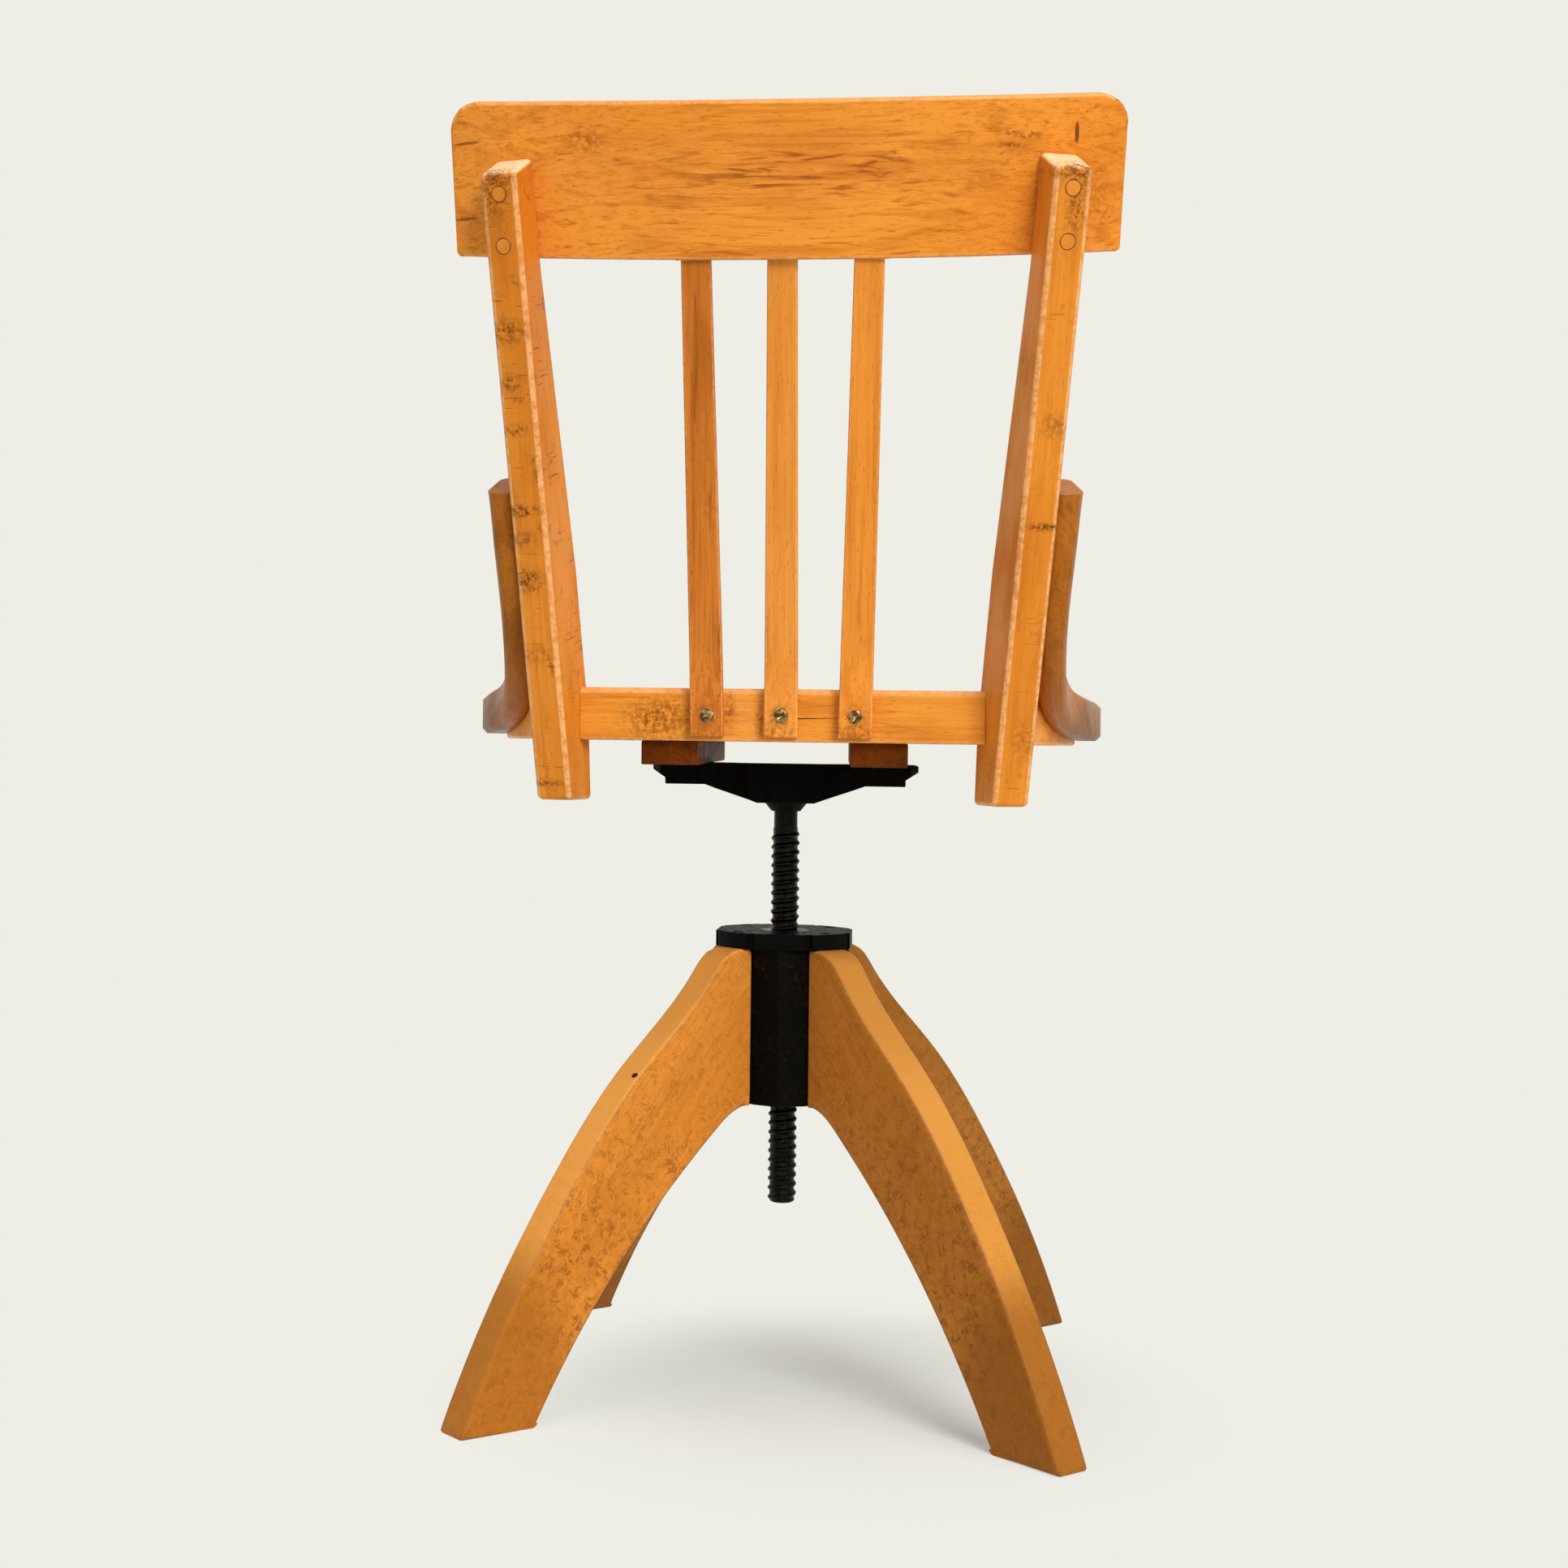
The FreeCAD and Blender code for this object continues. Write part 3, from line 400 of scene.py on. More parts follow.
def castMaterial(name, rusty, pitted):
    material, tree, shader = startMaterial(name)
    point = objectPoint(tree)
    grit = noise(tree, point, 640.0, 3.0, 0.62)
    lumps = noise(tree, point, 230.0, 4.0, 0.65)
    thin = product(tree, remap(tree, noise(tree, point, 300.0, 5.0, 0.7), 0.52, 0.70),
                   remap(tree, noise(tree, point, 34.0, 2.0), 0.40, 0.62), rusty, clamp=True)
    colour = blend(tree, thin, castIron["paint"], castIron["rust"])
    colour = blend(tree, product(tree, arrisMask(tree, (0, 0, 1)), 0.6), colour, castIron["rub"])
    smoother, rougher = castIron["roughRange"]
    rough = remap(tree, lumps, 0.3, 0.7, castIron["rough"] - smoother, castIron["rough"] + rougher)
    tree.links.new(colour, shader.inputs["Base Color"])
    tree.links.new(rough, shader.inputs["Roughness"])
    shader.inputs["Specular IOR Level"].default_value = castIron["gloss"]
    bump(tree, shader, calc(tree, "ADD", product(tree, grit, 0.5), lumps), pitted, castIron["bumpDepth"])
    return material


def steelMaterial(name, bright, oil, rough, covered, metal=0.85):
    # machined steel, covered with old oil over the given share
    material, tree, shader = startMaterial(name)
    point = objectPoint(tree)
    turned = noise(tree, placed(tree, point, scale=(60, 60, 1500)), 1.0, 2.0, 0.5)
    film = remap(tree, noise(tree, point, 210.0, 4.0, 0.6), 0.66 - 0.4 * covered, 0.78 - 0.4 * covered)
    tree.links.new(blend(tree, film, bright, oil), shader.inputs["Base Color"])
    tree.links.new(remap(tree, turned, 0.3, 0.7, rough - 0.08, rough + 0.12), shader.inputs["Roughness"])
    shader.inputs["Metallic"].default_value = metal
    bump(tree, shader, turned, 0.15, 0.0002)
    return material


# soft arrises on the carried-over pieces, without touching their meshes
softening = {
    "weldGap": 0.00002,
    "flatAngle": 0.4,       # degrees between faces that count as one
    "sharpAngle": 40,       # degrees of an edge that gets rounded
    "shortEdge": 0.00195,   # edges of the holes are shorter than this and stay sharp
    "segments": 3,
    "smoothAngle": 32,
    "roundAngle": 60,       # the same for bent pieces with corners taken off
}


def startGeometry(name):
    group = bpy.data.node_groups.new(name, "GeometryNodeTree")
    group.interface.new_socket("Geometry", in_out="INPUT", socket_type="NodeSocketGeometry")
    group.interface.new_socket("Geometry", in_out="OUTPUT", socket_type="NodeSocketGeometry")
    return group, group.nodes.new("NodeGroupInput"), group.nodes.new("NodeGroupOutput")


def isGreater(group, value, limit):
    node = group.nodes.new("FunctionNodeCompare")
    node.operation = "GREATER_THAN"
    group.links.new(value, node.inputs[0])
    node.inputs[1].default_value = limit
    return node.outputs[0]


def makeSmoothing(degrees):
    group, start, end = startGeometry("smoothCurves%d" % degrees)
    faces = group.nodes.new("GeometryNodeSetShadeSmooth")
    faces.domain = "FACE"
    edges = group.nodes.new("GeometryNodeSetShadeSmooth")
    edges.domain = "EDGE"
    edges.inputs["Shade Smooth"].default_value = False
    angle = group.nodes.new("GeometryNodeInputMeshEdgeAngle")
    group.links.new(start.outputs[0], faces.inputs[0])
    group.links.new(faces.outputs[0], edges.inputs[0])
    group.links.new(isGreater(group, angle.outputs[0], math.radians(degrees)), edges.inputs["Selection"])
    group.links.new(edges.outputs[0], end.inputs[0])
    return group


def makeArrisChoice():
    # marks the sharp edges that get rounded
    group, start, end = startGeometry("arrisChoice")
    angle = group.nodes.new("GeometryNodeInputMeshEdgeAngle")
    ends = group.nodes.new("GeometryNodeInputMeshEdgeVertices")
    length = group.nodes.new("ShaderNodeVectorMath")
    length.operation = "DISTANCE"
    group.links.new(ends.outputs["Position 1"], length.inputs[0])
    group.links.new(ends.outputs["Position 2"], length.inputs[1])
    both = group.nodes.new("FunctionNodeBooleanMath")
    isSharp = isGreater(group, angle.outputs[0], math.radians(softening["sharpAngle"]))
    group.links.new(isSharp, both.inputs[0])
    group.links.new(isGreater(group, length.outputs["Value"], softening["shortEdge"]), both.inputs[1])
    store = group.nodes.new("GeometryNodeStoreNamedAttribute")
    store.domain = "EDGE"
    store.inputs["Name"].default_value = "bevel_weight_edge"
    group.links.new(start.outputs[0], store.inputs["Geometry"])
    group.links.new(both.outputs[0], store.inputs["Value"])
    group.links.new(store.outputs[0], end.inputs[0])
    return group


smoothing = makeSmoothing(softening["smoothAngle"])
roundSmoothing = makeSmoothing(softening["roundAngle"])
arrisChoice = makeArrisChoice()


def soften(piece, width, curves=smoothing, clamp=False):
    weld = piece.modifiers.new("weld", "WELD")
    weld.merge_threshold = softening["weldGap"]
    if width:
        flat = piece.modifiers.new("flat", "DECIMATE")
        flat.decimate_type = "DISSOLVE"
        flat.angle_limit = math.radians(softening["flatAngle"])
        choice = piece.modifiers.new("choice", "NODES")
        choice.node_group = arrisChoice
        edge = piece.modifiers.new("arris", "BEVEL")
        edge.width = width
        edge.segments = softening["segments"]
        edge.limit_method = "WEIGHT"
        edge.use_clamp_overlap = clamp
        edge.loop_slide = False
    smooth = piece.modifiers.new("smooth", "NODES")
    smooth.node_group = curves
    if width:
        even = piece.modifiers.new("even", "WEIGHTED_NORMAL")
        even.keep_sharp = True


def finishNode(name, material, width=0.0, curves=smoothing, clamp=False):
    piece = cad[name]
    piece.data.materials.clear()
    piece.data.materials.append(material)
    soften(piece, width, curves, clamp)


# legs: the crazed old varnish shows on their sides, and their arrises are grimy
legLook = {
    "names": ("leg_rear_left", "leg_rear_right", "leg_front_right", "leg_front_left"),
    # painted shade per leg: the legs that turn away from the key light, and most of all the far leg in the others'
    # shadow, are darker
    "paintedShades": (0.98, 0.72, 0.52, 0.85),
    "arris": 0.003,
    "turn": 42.0,           # degrees from +X to the first leg
    "chord": (0.66, 0.75),  # run and fall of the leg's grain
    "footReach": 0.265,
    # darker towards the feet: partly painted shade near the floor, partly darker wood
    "grimeAndShade": ((0.10, 0.10, 0.15), (0.36, 0.115, 0.010), 0.75),
    "hole": ((0.0972, 0.0983, 0.2208), (0.0036, 0.0036, 0.0022), (0.010, 0.004, 0.002), 1.0),
    # upwardHighlight paints the strips of the legs lighter where they face up: a painted highlight
    "wood": dict(grain=0.24, fleck=0.25, lens=0.22, patch=0.5, curl=0.8, curlZone=(0.04, 0.29), worn=0.8,
                 wornTone=(0.27, 0.115, 0.065), upwardHighlight=(0.98, 0.42, 0.075), light=(0.76, 0.285, 0.042),
                 middle=(0.68, 0.240, 0.030), dark=(0.42, 0.120, 0.010)),
}


def dressLegs(look):
    run, fall = look["chord"]
    for k, name in enumerate(look["names"]):
        turn = math.radians(look["turn"] + 90 * k)
        along = (run * math.cos(turn), run * math.sin(turn), -fall)
        foot = (look["footReach"] * math.cos(turn), look["footReach"] * math.sin(turn), 0.0)
        grimyAndShaded = (foot, *look["grimeAndShade"])
        material = woodMaterial("legWoodPaintedShade%d" % k, along, 11 + k, arrisAxis=(-math.sin(turn), math.cos(turn), 0),
                                spots=(look["hole"], grimyAndShaded) if k == 0 else (grimyAndShaded,),
                                shade=look["paintedShades"][k], **look["wood"])
        finishNode(name, material, look["arris"])


dressLegs(legLook)

# the cast hub, its cap, the spider and the steel inside them
castLook = (
    # name, rust, pits, arris, clamp
    ("hub_column", 0.9, 0.7, 0.0009, False),
    ("hub_cap", 0.2, 0.35, 0.0010, True),
    ("spider", 0.3, 0.5, 0.0010, True),
)
for name, rusty, pitted, arris, clamp in castLook:
    finishNode(name, castMaterial(name + "Paint", rusty, pitted), arris, clamp=clamp)
nutSteel = steelMaterial("nutSteel", (0.05, 0.04, 0.03), (0.012, 0.009, 0.007), 0.4, 0.7)
boltSteel = steelMaterial("boltSteel", (0.10, 0.085, 0.07), (0.02, 0.014, 0.01), 0.45, 0.6)
finishNode("spindle_nut", nutSteel)
finishNode("leg_bolts", boltSteel, 0.0005)
finishNode("spider_pin", boltSteel)
finishNode("crest_screws", boltSteel)
print("legs and castings dressed")

# crest rail: grain along its length, a reddish rubbed band across the middle
crestLook = {
    "arris": 0.0022,
    "wood": dict(
        grain=0.46, lens=0.7, fleck=0.35, patch=0.3, worn=0.5, arrisAxis=(0, 0.292, 0.956),
        light=(0.90, 0.325, 0.044), middle=(0.82, 0.265, 0.028),
        scuff=1.0, scuffZone=((-0.012, 0.27, 0.785), (0.17, 0.20, 0.038)),
        spots=(
            ((-0.1748, 0.2614, 0.8129), (0.0016, 0.03, 0.0075), (0.13, 0.03, 0.008), 0.9),
            ((0.1954, 0.2536, 0.8128), (0.011, 0.04, 0.0011), (0.22, 0.06, 0.012), 0.8),
            ((0.1970, 0.2396, 0.7690), (0.010, 0.04, 0.0011), (0.22, 0.06, 0.012), 0.8),
        ),
        stains=(
            ((-0.142, 0.2709, 0.8099), (0.024, 0.03, 0.0034), (0.24, 0.06, 0.012), 1.0),
            ((-0.136, 0.2709, 0.8035), (0.016, 0.03, 0.0028), (0.24, 0.06, 0.012), 0.9),
            ((0.118, 0.276, 0.8075), (0.020, 0.03, 0.014), (0.40, 0.10, 0.016), 0.8),
            ((-0.19, 0.26, 0.775), (0.02, 0.04, 0.030), (0.40, 0.10, 0.012), 0.7),
            ((0.19, 0.26, 0.765), (0.02, 0.04, 0.030), (0.40, 0.10, 0.012), 0.6),
        )),
}
finishNode("crest_rail", woodMaterial("crestWood", (1, 0, 0), 3, **crestLook["wood"]), crestLook["arris"])
finishNode("crest_plugs", woodMaterial("plugWood", (0, 1, 0), 5, grain=0.2, lens=0.1, shade=0.86))

# posts: their rear faces are duller, with cracks and stains across them
postLook = {
    "arris": 0.0034,
    "out": (0.955, 0.297),
    "lean": (0.07, 0.29, 0.95),
    "middleLine": ((0.150, 0.172, 0.41), (0.1745, 0.283, 0.79)),
    "stain": (0.16, 0.045, 0.010),
    # upwardHighlight paints the bevelled tops of the posts pale where they face up: a painted highlight
    "wood": dict(grain=0.26, lens=0.3, fleck=0.3, patch=0.75, worn=0.8, light=(0.84, 0.285, 0.032),
                 middle=(0.73, 0.220, 0.018), upwardHighlight=(1.0, 0.72, 0.42)),
}
postStains = {
    # height, half width, half height, strength, on the middle line of the rear face
    "post_left": ((0.7850, 0.024, 0.012, 1.0), (0.7720, 0.016, 0.022, 0.8), (0.6948, 0.022, 0.012, 1.0),
                  (0.6650, 0.012, 0.010, 0.9), (0.6370, 0.014, 0.006, 1.0), (0.5881, 0.022, 0.006, 1.3),
                  (0.5700, 0.016, 0.010, 0.7), (0.5459, 0.018, 0.012, 1.1), (0.5000, 0.020, 0.010, 0.5),
                  (0.4180, 0.024, 0.004, 1.0)),
    "post_right": ((0.7850, 0.024, 0.014, 1.0), (0.7650, 0.010, 0.030, 0.9), (0.5795, 0.020, 0.004, 1.2),
                   (0.6400, 0.016, 0.012, 0.6), (0.4500, 0.016, 0.020, 0.5)),
}


def dressPost(name, side, seed, crack, shade):
    low, high = (Vector(end) for end in postLook["middleLine"])
    stains = []
    for z, wide, tall, strength in postStains[name]:
        place = low.lerp(high, (z - low.z) / (high.z - low.z))
        stains.append(((side * place.x, place.y, z), (wide, 0.03, tall), postLook["stain"], strength))
    outX, outY = postLook["out"]
    leanX, leanY, leanZ = postLook["lean"]
    material = woodMaterial(name + "Wood", (side * leanX, leanY, leanZ), seed, crack=crack, stains=stains,
                            shade=shade, arrisAxis=(outX, -side * outY, 0), **postLook["wood"])
    finishNode(name, material, postLook["arris"])


dressPost("post_left", 1, 7, 0.85, 0.95)
dressPost("post_right", -1, 8, 0.45, 0.97)

# slats: one of them is redder than the rest
slatLook = {"along": (0, 0.33, 0.94), "arris": 0.0014, "worn": 0.35, "rearY": 0.181, "screwZ": 0.4625, "footZ": 0.452}
slatWoods = (
    # name, place across the rail, seed, wood
    ("slat_left", 0.047, 21, dict(light=(0.66, 0.20, 0.028), middle=(0.55, 0.15, 0.018), dark=(0.30, 0.070, 0.007),
                                  lens=0.75, grain=0.5, fleck=0.5)),
    ("slat_middle", 0.0, 23, dict(light=(0.86, 0.33, 0.058), middle=(0.78, 0.27, 0.038), lens=0.3)),
    ("slat_right", -0.047, 27, dict(light=(0.92, 0.34, 0.055), middle=(0.84, 0.28, 0.036), lens=0.45)),
)
for name, x, seed, wood in slatWoods:
    halo = ((x, slatLook["rearY"], slatLook["screwZ"]), (0.011, 0.02, 0.011), (0.26, 0.07, 0.012), 1.3)
    foot = ((x, slatLook["rearY"], slatLook["footZ"]), (0.03, 0.02, 0.010), (0.34, 0.09, 0.012), 0.9)
    material = woodMaterial(name + "Wood", slatLook["along"], seed, arrisAxis=(1, 0, 0), worn=slatLook["worn"],
                            stains=(halo, foot), **wood)
    finishNode(name, material, slatLook["arris"])

# seat frame and panel
railMarksAndSlatShadows = (
    ((0.0793, 0.1720, 0.4600), (0.034, 0.03, 0.024), (0.30, 0.085, 0.010), 1.1),
    ((0.0219, 0.1720, 0.4636), (0.022, 0.03, 0.024), (0.90, 0.46, 0.20), 0.25),
    # painted shadows of the slats: narrow dark strips on the rail beside the left and the middle slat
    ((0.0330, 0.1720, 0.4660), (0.006, 0.03, 0.020), (0.34, 0.09, 0.012), 0.9),
    ((0.0130, 0.1720, 0.4600), (0.006, 0.03, 0.016), (0.34, 0.09, 0.012), 0.9),
)
seatLook = (
    # name, way of the grain, seed, arris, wood
    ("rear_rail", (1, 0, 0), 31, 0.0016, dict(grain=0.34, lens=0.4, patch=0.7, stains=railMarksAndSlatShadows,
                                              arrisAxis=(0, 0, 1), worn=0.6, shade=0.86)),
    ("front_rail", (1, 0, 0), 33, 0.003, dict(grain=0.3, arrisAxis=(0, 0, 1))),
    ("side_rail_left", (0.1, 1, 0), 35, 0.002, dict(arrisAxis=(0, 0, 1))),
    ("side_rail_right", (-0.1, 1, 0), 37, 0.002, dict(arrisAxis=(0, 0, 1))),
    ("seat_panel", (0, 1, 0), 41, 0.0, dict(fleck=0.4, patch=0.2, scuff=0.12, shade=0.7, gloss=0.12, boards=0.0782,
                                            scuffZone=((0, -0.02, 0.475), (0.19, 0.19, 0.05)))),
    ("corner_blocks", (1, 0, 0), 43, 0.0008, dict(shade=0.8)),
)
for name, along, seed, arris, wood in seatLook:
    finishNode(name, woodMaterial(name + "Wood", along, seed, **wood), arris)

# bentwood braces
braceLook = {
    "along": (0.1, -0.75, -0.5),
    "low": ((0.214, 0.02, 0.455), (0.035, 0.16, 0.035), (0.26, 0.090, 0.008), 0.75),
    "wood": dict(shade=0.72, grain=0.4, lens=0.35, patch=0.7, light=(0.62, 0.20, 0.022), middle=(0.50, 0.145, 0.013),
                 dark=(0.24, 0.060, 0.005), rough=0.38),
}
for name, side, seed in (("hip_brace_left", 1, 51), ("hip_brace_right", -1, 53)):
    (x, y, z), *spread = braceLook["low"]
    alongX, alongY, alongZ = braceLook["along"]
    material = woodMaterial(name + "Wood", (side * alongX, alongY, alongZ), seed,
                            spots=(((side * x, y, z), *spread),), **braceLook["wood"])
    finishNode(name, material, curves=roundSmoothing)

# battens of a darker stained wood
battenLook = {
    "arris": 0.0009,
    "wood": dict(light=(0.155, 0.032, 0.0035), middle=(0.105, 0.021, 0.002), dark=(0.045, 0.009, 0.001),
                 stain=(0.02, 0.005, 0.001), grain=0.5, fleck=0.4, rough=0.5, gloss=0.15),
}
for name, seed in (("batten_left", 61), ("batten_right", 63)):
    finishNode(name, woodMaterial(name + "Wood", (0, 1, 0), seed, **battenLook["wood"]), battenLook["arris"])
print("woodwork dressed")


def meshPiece(name, mesh):
    data = bpy.data.meshes.new(name)
    mesh.to_mesh(data)
    mesh.free()
    piece = bpy.data.objects.new(name, data)
    bpy.context.scene.collection.objects.link(piece)
    return piece


# screw spindle: a real trapezoid thread stands for the plain rod
spindle = {
    "pitch": 0.0065,
    "outer": 0.010,
    "root": 0.0087,
    "crestShare": 0.20,
    "flankShare": 0.20,
    "threadTop": 0.384,
    "runOut": 0.004,        # the thread fades out over this height
    "neck": 0.0083,
    "edge": 0.001,          # chamfer at the top
    "tipDrop": 0.0012,      # the foot starts this much inside the root
    "tipRise": 0.003,
    "tipHigh": 0.0025,
    "around": 56,
    "perTurn": 14,
}


def threadRadius(z, turn, low, shape):
    phase = (z / shape["pitch"] - turn) % 1.0
    crest, flank = shape["crestShare"], shape["flankShare"]
    outer, root = shape["outer"], shape["root"]
    if phase < crest:
        radius = outer
    elif phase < crest + flank:
        radius = outer + (root - outer) * (phase - crest) / flank
    elif phase < 1.0 - flank:
        radius = root
    else:
        radius = root + (outer - root) * (phase - 1.0 + flank) / flank
    runOut = min(1.0, max(0.0, (shape["threadTop"] - z) / shape["runOut"]))
    tip = min(1.0, (z - low) / shape["tipHigh"])
    return min(root + (radius - root) * runOut, root - shape["tipDrop"] + shape["tipRise"] * tip)


spindleSteel = steelMaterial("spindleSteel", (0.012, 0.008, 0.005), (0.002, 0.0015, 0.001), 0.36, 0.7, 0.8)


def makeSpindle(shape):
    low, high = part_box("spindle")
    step = shape["pitch"] / shape["perTurn"]
    rows = int((shape["threadTop"] - low.z) / step)
    heights = [low.z + (shape["threadTop"] - low.z) * i / rows for i in range(rows + 1)]
    heights += [shape["threadTop"] + 0.002, high.z - shape["edge"], high.z]
    mesh = bmesh.new()
    rings = []
    for z in heights:
        ring = []
        for i in range(shape["around"]):
            turn = i / shape["around"]
            radius = threadRadius(z, turn, low.z, shape) if z <= shape["threadTop"] else shape["neck"]
            if z == high.z:
                radius = shape["neck"] - shape["edge"]
            angle = 2 * math.pi * turn
            ring.append(mesh.verts.new((radius * math.cos(angle), radius * math.sin(angle), z)))
        rings.append(ring)
    for below, above in zip(rings, rings[1:]):
        for i in range(shape["around"]):
            j = (i + 1) % shape["around"]
            mesh.faces.new((below[i], below[j], above[j], above[i]))
    mesh.faces.new(list(reversed(rings[0])))
    mesh.faces.new(rings[-1])
    piece = meshPiece("threadedSpindle", mesh)
    piece.data.materials.append(spindleSteel)
    soften(piece, 0.0)
    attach(piece, "seat")
    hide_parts("spindle")


makeSpindle(spindle)
print("spindle threaded")


# screw heads take their places from the plain screws in the frame
def screwPlaces(node, towards=(0, 0, 0)):
    mesh = bmesh.new()
    mesh.from_mesh(cad[node].data)
    bmesh.ops.remove_doubles(mesh, verts=mesh.verts, dist=0.00001)
    left = dict.fromkeys(mesh.faces)    # keeps its order, so each run gives the same screws
    places = []
    while left:
        island = []
        queue = [left.popitem()[0]]
        while queue:
            face = queue.pop()
            island.append(face)
            for edge in face.edges:
                for other in edge.link_faces:
                    if other in left:
                        del left[other]
                        queue.append(other)
        groups = {}
        for face in island:
            key = tuple(round(n, 2) for n in face.normal)
            groups.setdefault(key, []).append(face)
        best = max(groups.values(), key=lambda fs: sum(f.calc_area() for f in fs)
                   * (2 + fs[0].normal.dot(Vector(towards))))
        area = sum(f.calc_area() for f in best)
        centre = sum((f.calc_center_median() * f.calc_area() for f in best), Vector()) / area
        places.append((centre, best[0].normal.copy(), math.sqrt(area / math.pi)))
    mesh.free()
    return places


screwHead = {
    "crossReach": 0.58,     # shares of the head's radius
    "crossWide": 0.15,
    "slotWide": 0.12,
    "slotLong": 0.93,
    "under": 0.6,
    "deep": 0.0011,
    "crown": 0.0007,
    "skirt": 0.0026,
    "rings": 14,
    "around": 64,
}


def ringPoints(count, radius):
    for i in range(count):
        angle = 2 * math.pi * i / count
        yield radius * math.cos(angle), radius * math.sin(angle)


def recessDepth(x, y, radius, cross):
    u, v = abs(x) / radius, abs(y) / radius
    if not cross:
        return 1.0 if v < screwHead["slotWide"] and u < screwHead["slotLong"] else 0.0
    inArm = min(u, v) < screwHead["crossWide"] * (1.15 - 0.5 * max(u, v))
    return max(0.0, 1.0 - max(u, v) / screwHead["crossReach"]) ** 0.5 if inArm else 0.0


def makeScrewHeads(name, nodeName, body, material, slot, cross, turnStep):
    crown = screwHead["crown"] if cross else 0.0
    mesh = bmesh.new()
    for count, (centre, normal, radius) in enumerate(screwPlaces(nodeName)):
        toWorld = Matrix.Translation(centre) @ normal.to_track_quat("Z", "Y").to_matrix().to_4x4()
        toWorld = toWorld @ Matrix.Rotation(math.radians(turnStep * (count + 1)), 4, "Z")
        rings = []
        for k in range(1, screwHead["rings"] + 1):
            share = k / screwHead["rings"]
            ring = []
            for x, y in ringPoints(screwHead["around"], radius * share):
                z = crown * (1 - share * share) - screwHead["deep"] * recessDepth(x, y, radius, cross)
                ring.append(mesh.verts.new(toWorld @ Vector((x, y, z))))
            rings.append(ring)
        rings.append([mesh.verts.new(toWorld @ Vector((x, y, -screwHead["skirt"])))
                      for x, y in ringPoints(screwHead["around"], radius * screwHead["under"])])
        top = mesh.verts.new(toWorld @ Vector((0, 0, crown - screwHead["deep"])))
        for i in range(screwHead["around"]):
            j = (i + 1) % screwHead["around"]
            mesh.faces.new((top, rings[0][i], rings[0][j]))
            for inner, outer in zip(rings, rings[1:]):
                mesh.faces.new((inner[i], outer[i], outer[j], inner[j]))
        mesh.faces.new(list(reversed(rings[-1])))
    piece = meshPiece(name, mesh)
    piece.data.materials.append(material)
    soften(piece, 0.0)
    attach(piece, body)
    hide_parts(nodeName)


oldBrass = steelMaterial("oldBrass", (0.36, 0.23, 0.09), (0.09, 0.045, 0.014), 0.28, 0.6)
blackSteel = steelMaterial("blackSteel", (0.03, 0.026, 0.022), (0.012, 0.009, 0.007), 0.42, 0.5)
headRows = (
    # name, node, body, material, slot, domed head with a cross, turn from one head to the next
    ("slatScrewHeads", "slat_screws", "seat", oldBrass, "screw_brass", True, 23),
    ("braceScrewHeads", "brace_screws", "seat", oldBrass, "screw_brass", False, 37),
    ("capScrewHeads", "cap_screws", "base", blackSteel, "dark_steel", False, 51),
    ("spiderScrewHeads", "spider_screws", "seat", blackSteel, "dark_steel", False, 67),
    ("battenScrewHeads", "batten_screws", "seat", blackSteel, "dark_steel", False, 29),
)
for row in headRows:
    makeScrewHeads(*row)


# thin dark joint round each wooden plug
plugSeam = {
    "wide": 0.00045,
    "spread": 0.3,          # share of the width that lies outside the plug
    "wobble": 0.25,
    "proud": 0.00006,
    "around": 48,
    "dirt": ((0.16, 0.05, 0.016), (0.05, 0.016, 0.006)),
}


def makePlugSeams(shape):
    mesh = bmesh.new()
    for centre, normal, radius in screwPlaces("crest_plugs", (0, 1, 0)):
        toWorld = Matrix.Translation(centre + normal * shape["proud"])
        toWorld = toWorld @ normal.to_track_quat("Z", "Y").to_matrix().to_4x4()
        inner, outer = [], []
        for i in range(shape["around"]):
            angle = 2 * math.pi * i / shape["around"]
            wobble = 1.0 + shape["wobble"] * math.sin(3 * angle + centre.x * 90)
            spot = Vector((math.cos(angle), math.sin(angle), 0))
            inner.append(mesh.verts.new(toWorld @ (spot * (radius - shape["wide"] * wobble))))
            outer.append(mesh.verts.new(toWorld @ (spot * (radius + shape["wide"] * shape["spread"]))))
        for i in range(shape["around"]):
            j = (i + 1) % shape["around"]
            mesh.faces.new((inner[i], outer[i], outer[j], inner[j]))
    piece = meshPiece("plugSeams", mesh)
    material, tree, shader = startMaterial("seamDirt")
    tone = blend(tree, noise(tree, objectPoint(tree), 400.0), *shape["dirt"])
    tree.links.new(tone, shader.inputs["Base Color"])
    shader.inputs["Roughness"].default_value = 0.8
    piece.data.materials.append(material)
    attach(piece, "seat")


makePlugSeams(plugSeam)
print("screws and plugs made")

# studio: a pale floor that goes over into a plain backdrop of the same colour
studio = {
    "paper": (0.855, 0.855, 0.791),
    "floorTone": (0.77, 0.81, 0.79),
    "floorSize": 14,
    "air": (1.0, 0.985, 0.96),
    "ambient": 0.27,
    "shadowCentre": (-0.05, 0.07, 0),
    "shadowNear": 0.06,
    "shadowFar": 0.31,
    "shadowShare": 0.75,
}
suns = (
    # name, strength, towards, spread in degrees, colour
    ("keyLight", 2.1, (-0.44, 0.765, 0.47), 26, (1.0, 0.985, 0.95)),
    ("topLight", 1.5, (-0.10, 0.25, 0.96), 40, (1.0, 1.0, 1.0)),
    ("fillLight", 0.15, (0.7, 0.6, 0.3), 60, (1.0, 1.0, 1.0)),
)


def startTree(tree, outputKind):
    tree.nodes.clear()
    output = tree.nodes.new(outputKind)
    mix = tree.nodes.new("ShaderNodeMixShader")
    tree.links.new(mix.outputs[0], output.inputs[0])
    return mix, tree.nodes.new("ShaderNodeLightPath")


def joinShaders(tree, mix, factor, first, second):
    tree.links.new(factor, mix.inputs[0])
    tree.links.new(first.outputs[0], mix.inputs[1])
    tree.links.new(second.outputs[0], mix.inputs[2])


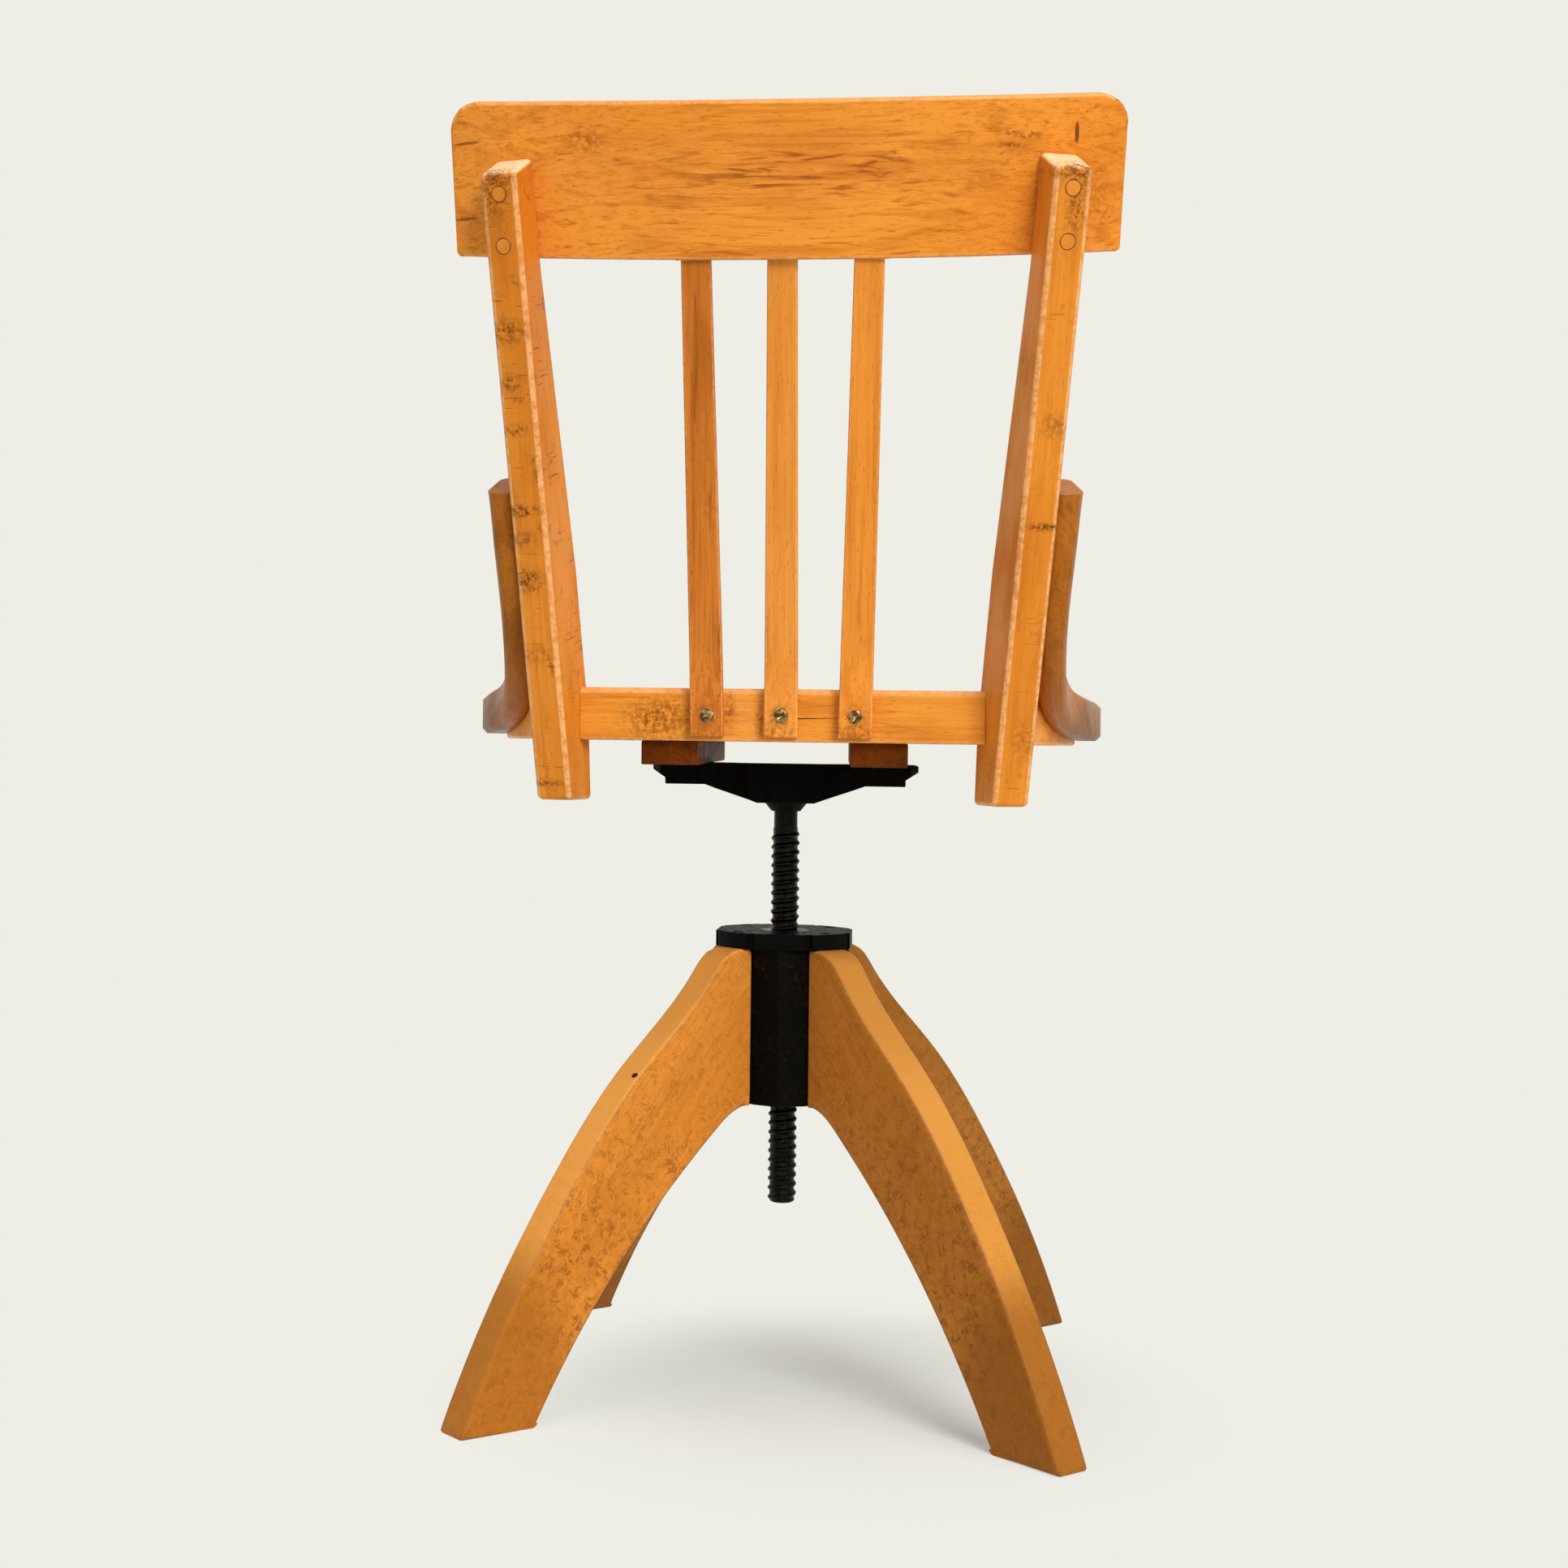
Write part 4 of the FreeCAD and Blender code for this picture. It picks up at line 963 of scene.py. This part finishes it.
def makeWorld(look):
    world = bpy.data.worlds.new("studioWorld")
    bpy.context.scene.world = world
    world.use_nodes = True
    tree = world.node_tree
    mix, path = startTree(tree, "ShaderNodeOutputWorld")
    seen = tree.nodes.new("ShaderNodeBackground")
    seen.inputs[0].default_value = (*look["paper"], 1)
    lit = tree.nodes.new("ShaderNodeBackground")
    lit.inputs[0].default_value = (*look["air"], 1)
    lit.inputs[1].default_value = look["ambient"]
    direct = calc(tree, "MAXIMUM", path.outputs["Is Camera Ray"], path.outputs["Is Glossy Ray"])
    direct = calc(tree, "MAXIMUM", direct, path.outputs["Is Transmission Ray"])
    joinShaders(tree, mix, direct, lit, seen)


def makeFloor(look):
    bpy.ops.mesh.primitive_plane_add(size=look["floorSize"], location=(0, 0, 0))
    floor = bpy.context.object
    floor.name = "studioFloor"
    material = bpy.data.materials.new("studioPaper")
    material.use_nodes = True
    tree = material.node_tree
    mix, path = startTree(tree, "ShaderNodeOutputMaterial")
    matt = tree.nodes.new("ShaderNodeBsdfDiffuse")
    matt.inputs[0].default_value = (*look["floorTone"], 1)
    glow = tree.nodes.new("ShaderNodeEmission")
    glow.inputs[0].default_value = (*look["paper"], 1)
    place = placed(tree, objectPoint(tree), shift=[-x for x in look["shadowCentre"]])
    shadow = remap(tree, lengthOf(tree, place), look["shadowFar"], look["shadowNear"], 0.0, look["shadowShare"])
    direct = calc(tree, "MAXIMUM", path.outputs["Is Camera Ray"], path.outputs["Is Glossy Ray"])
    bounced = calc(tree, "SUBTRACT", 1.0, direct)
    joinShaders(tree, mix, calc(tree, "MAXIMUM", shadow, bounced), glow, matt)
    floor.data.materials.append(material)


def makeSun(name, strength, towards, spread, colour):
    data = bpy.data.lights.new(name, "SUN")
    data.energy = strength
    data.angle = math.radians(spread)
    data.color = colour
    lamp = bpy.data.objects.new(name, data)
    lamp.rotation_mode = "QUATERNION"
    lamp.rotation_quaternion = Vector(towards).to_track_quat("Z", "Y")
    bpy.context.scene.collection.objects.link(lamp)


makeWorld(studio)
makeFloor(studio)
for row in suns:
    makeSun(*row)
bpy.context.scene.view_settings.view_transform = "Standard"
print("stage and light set")
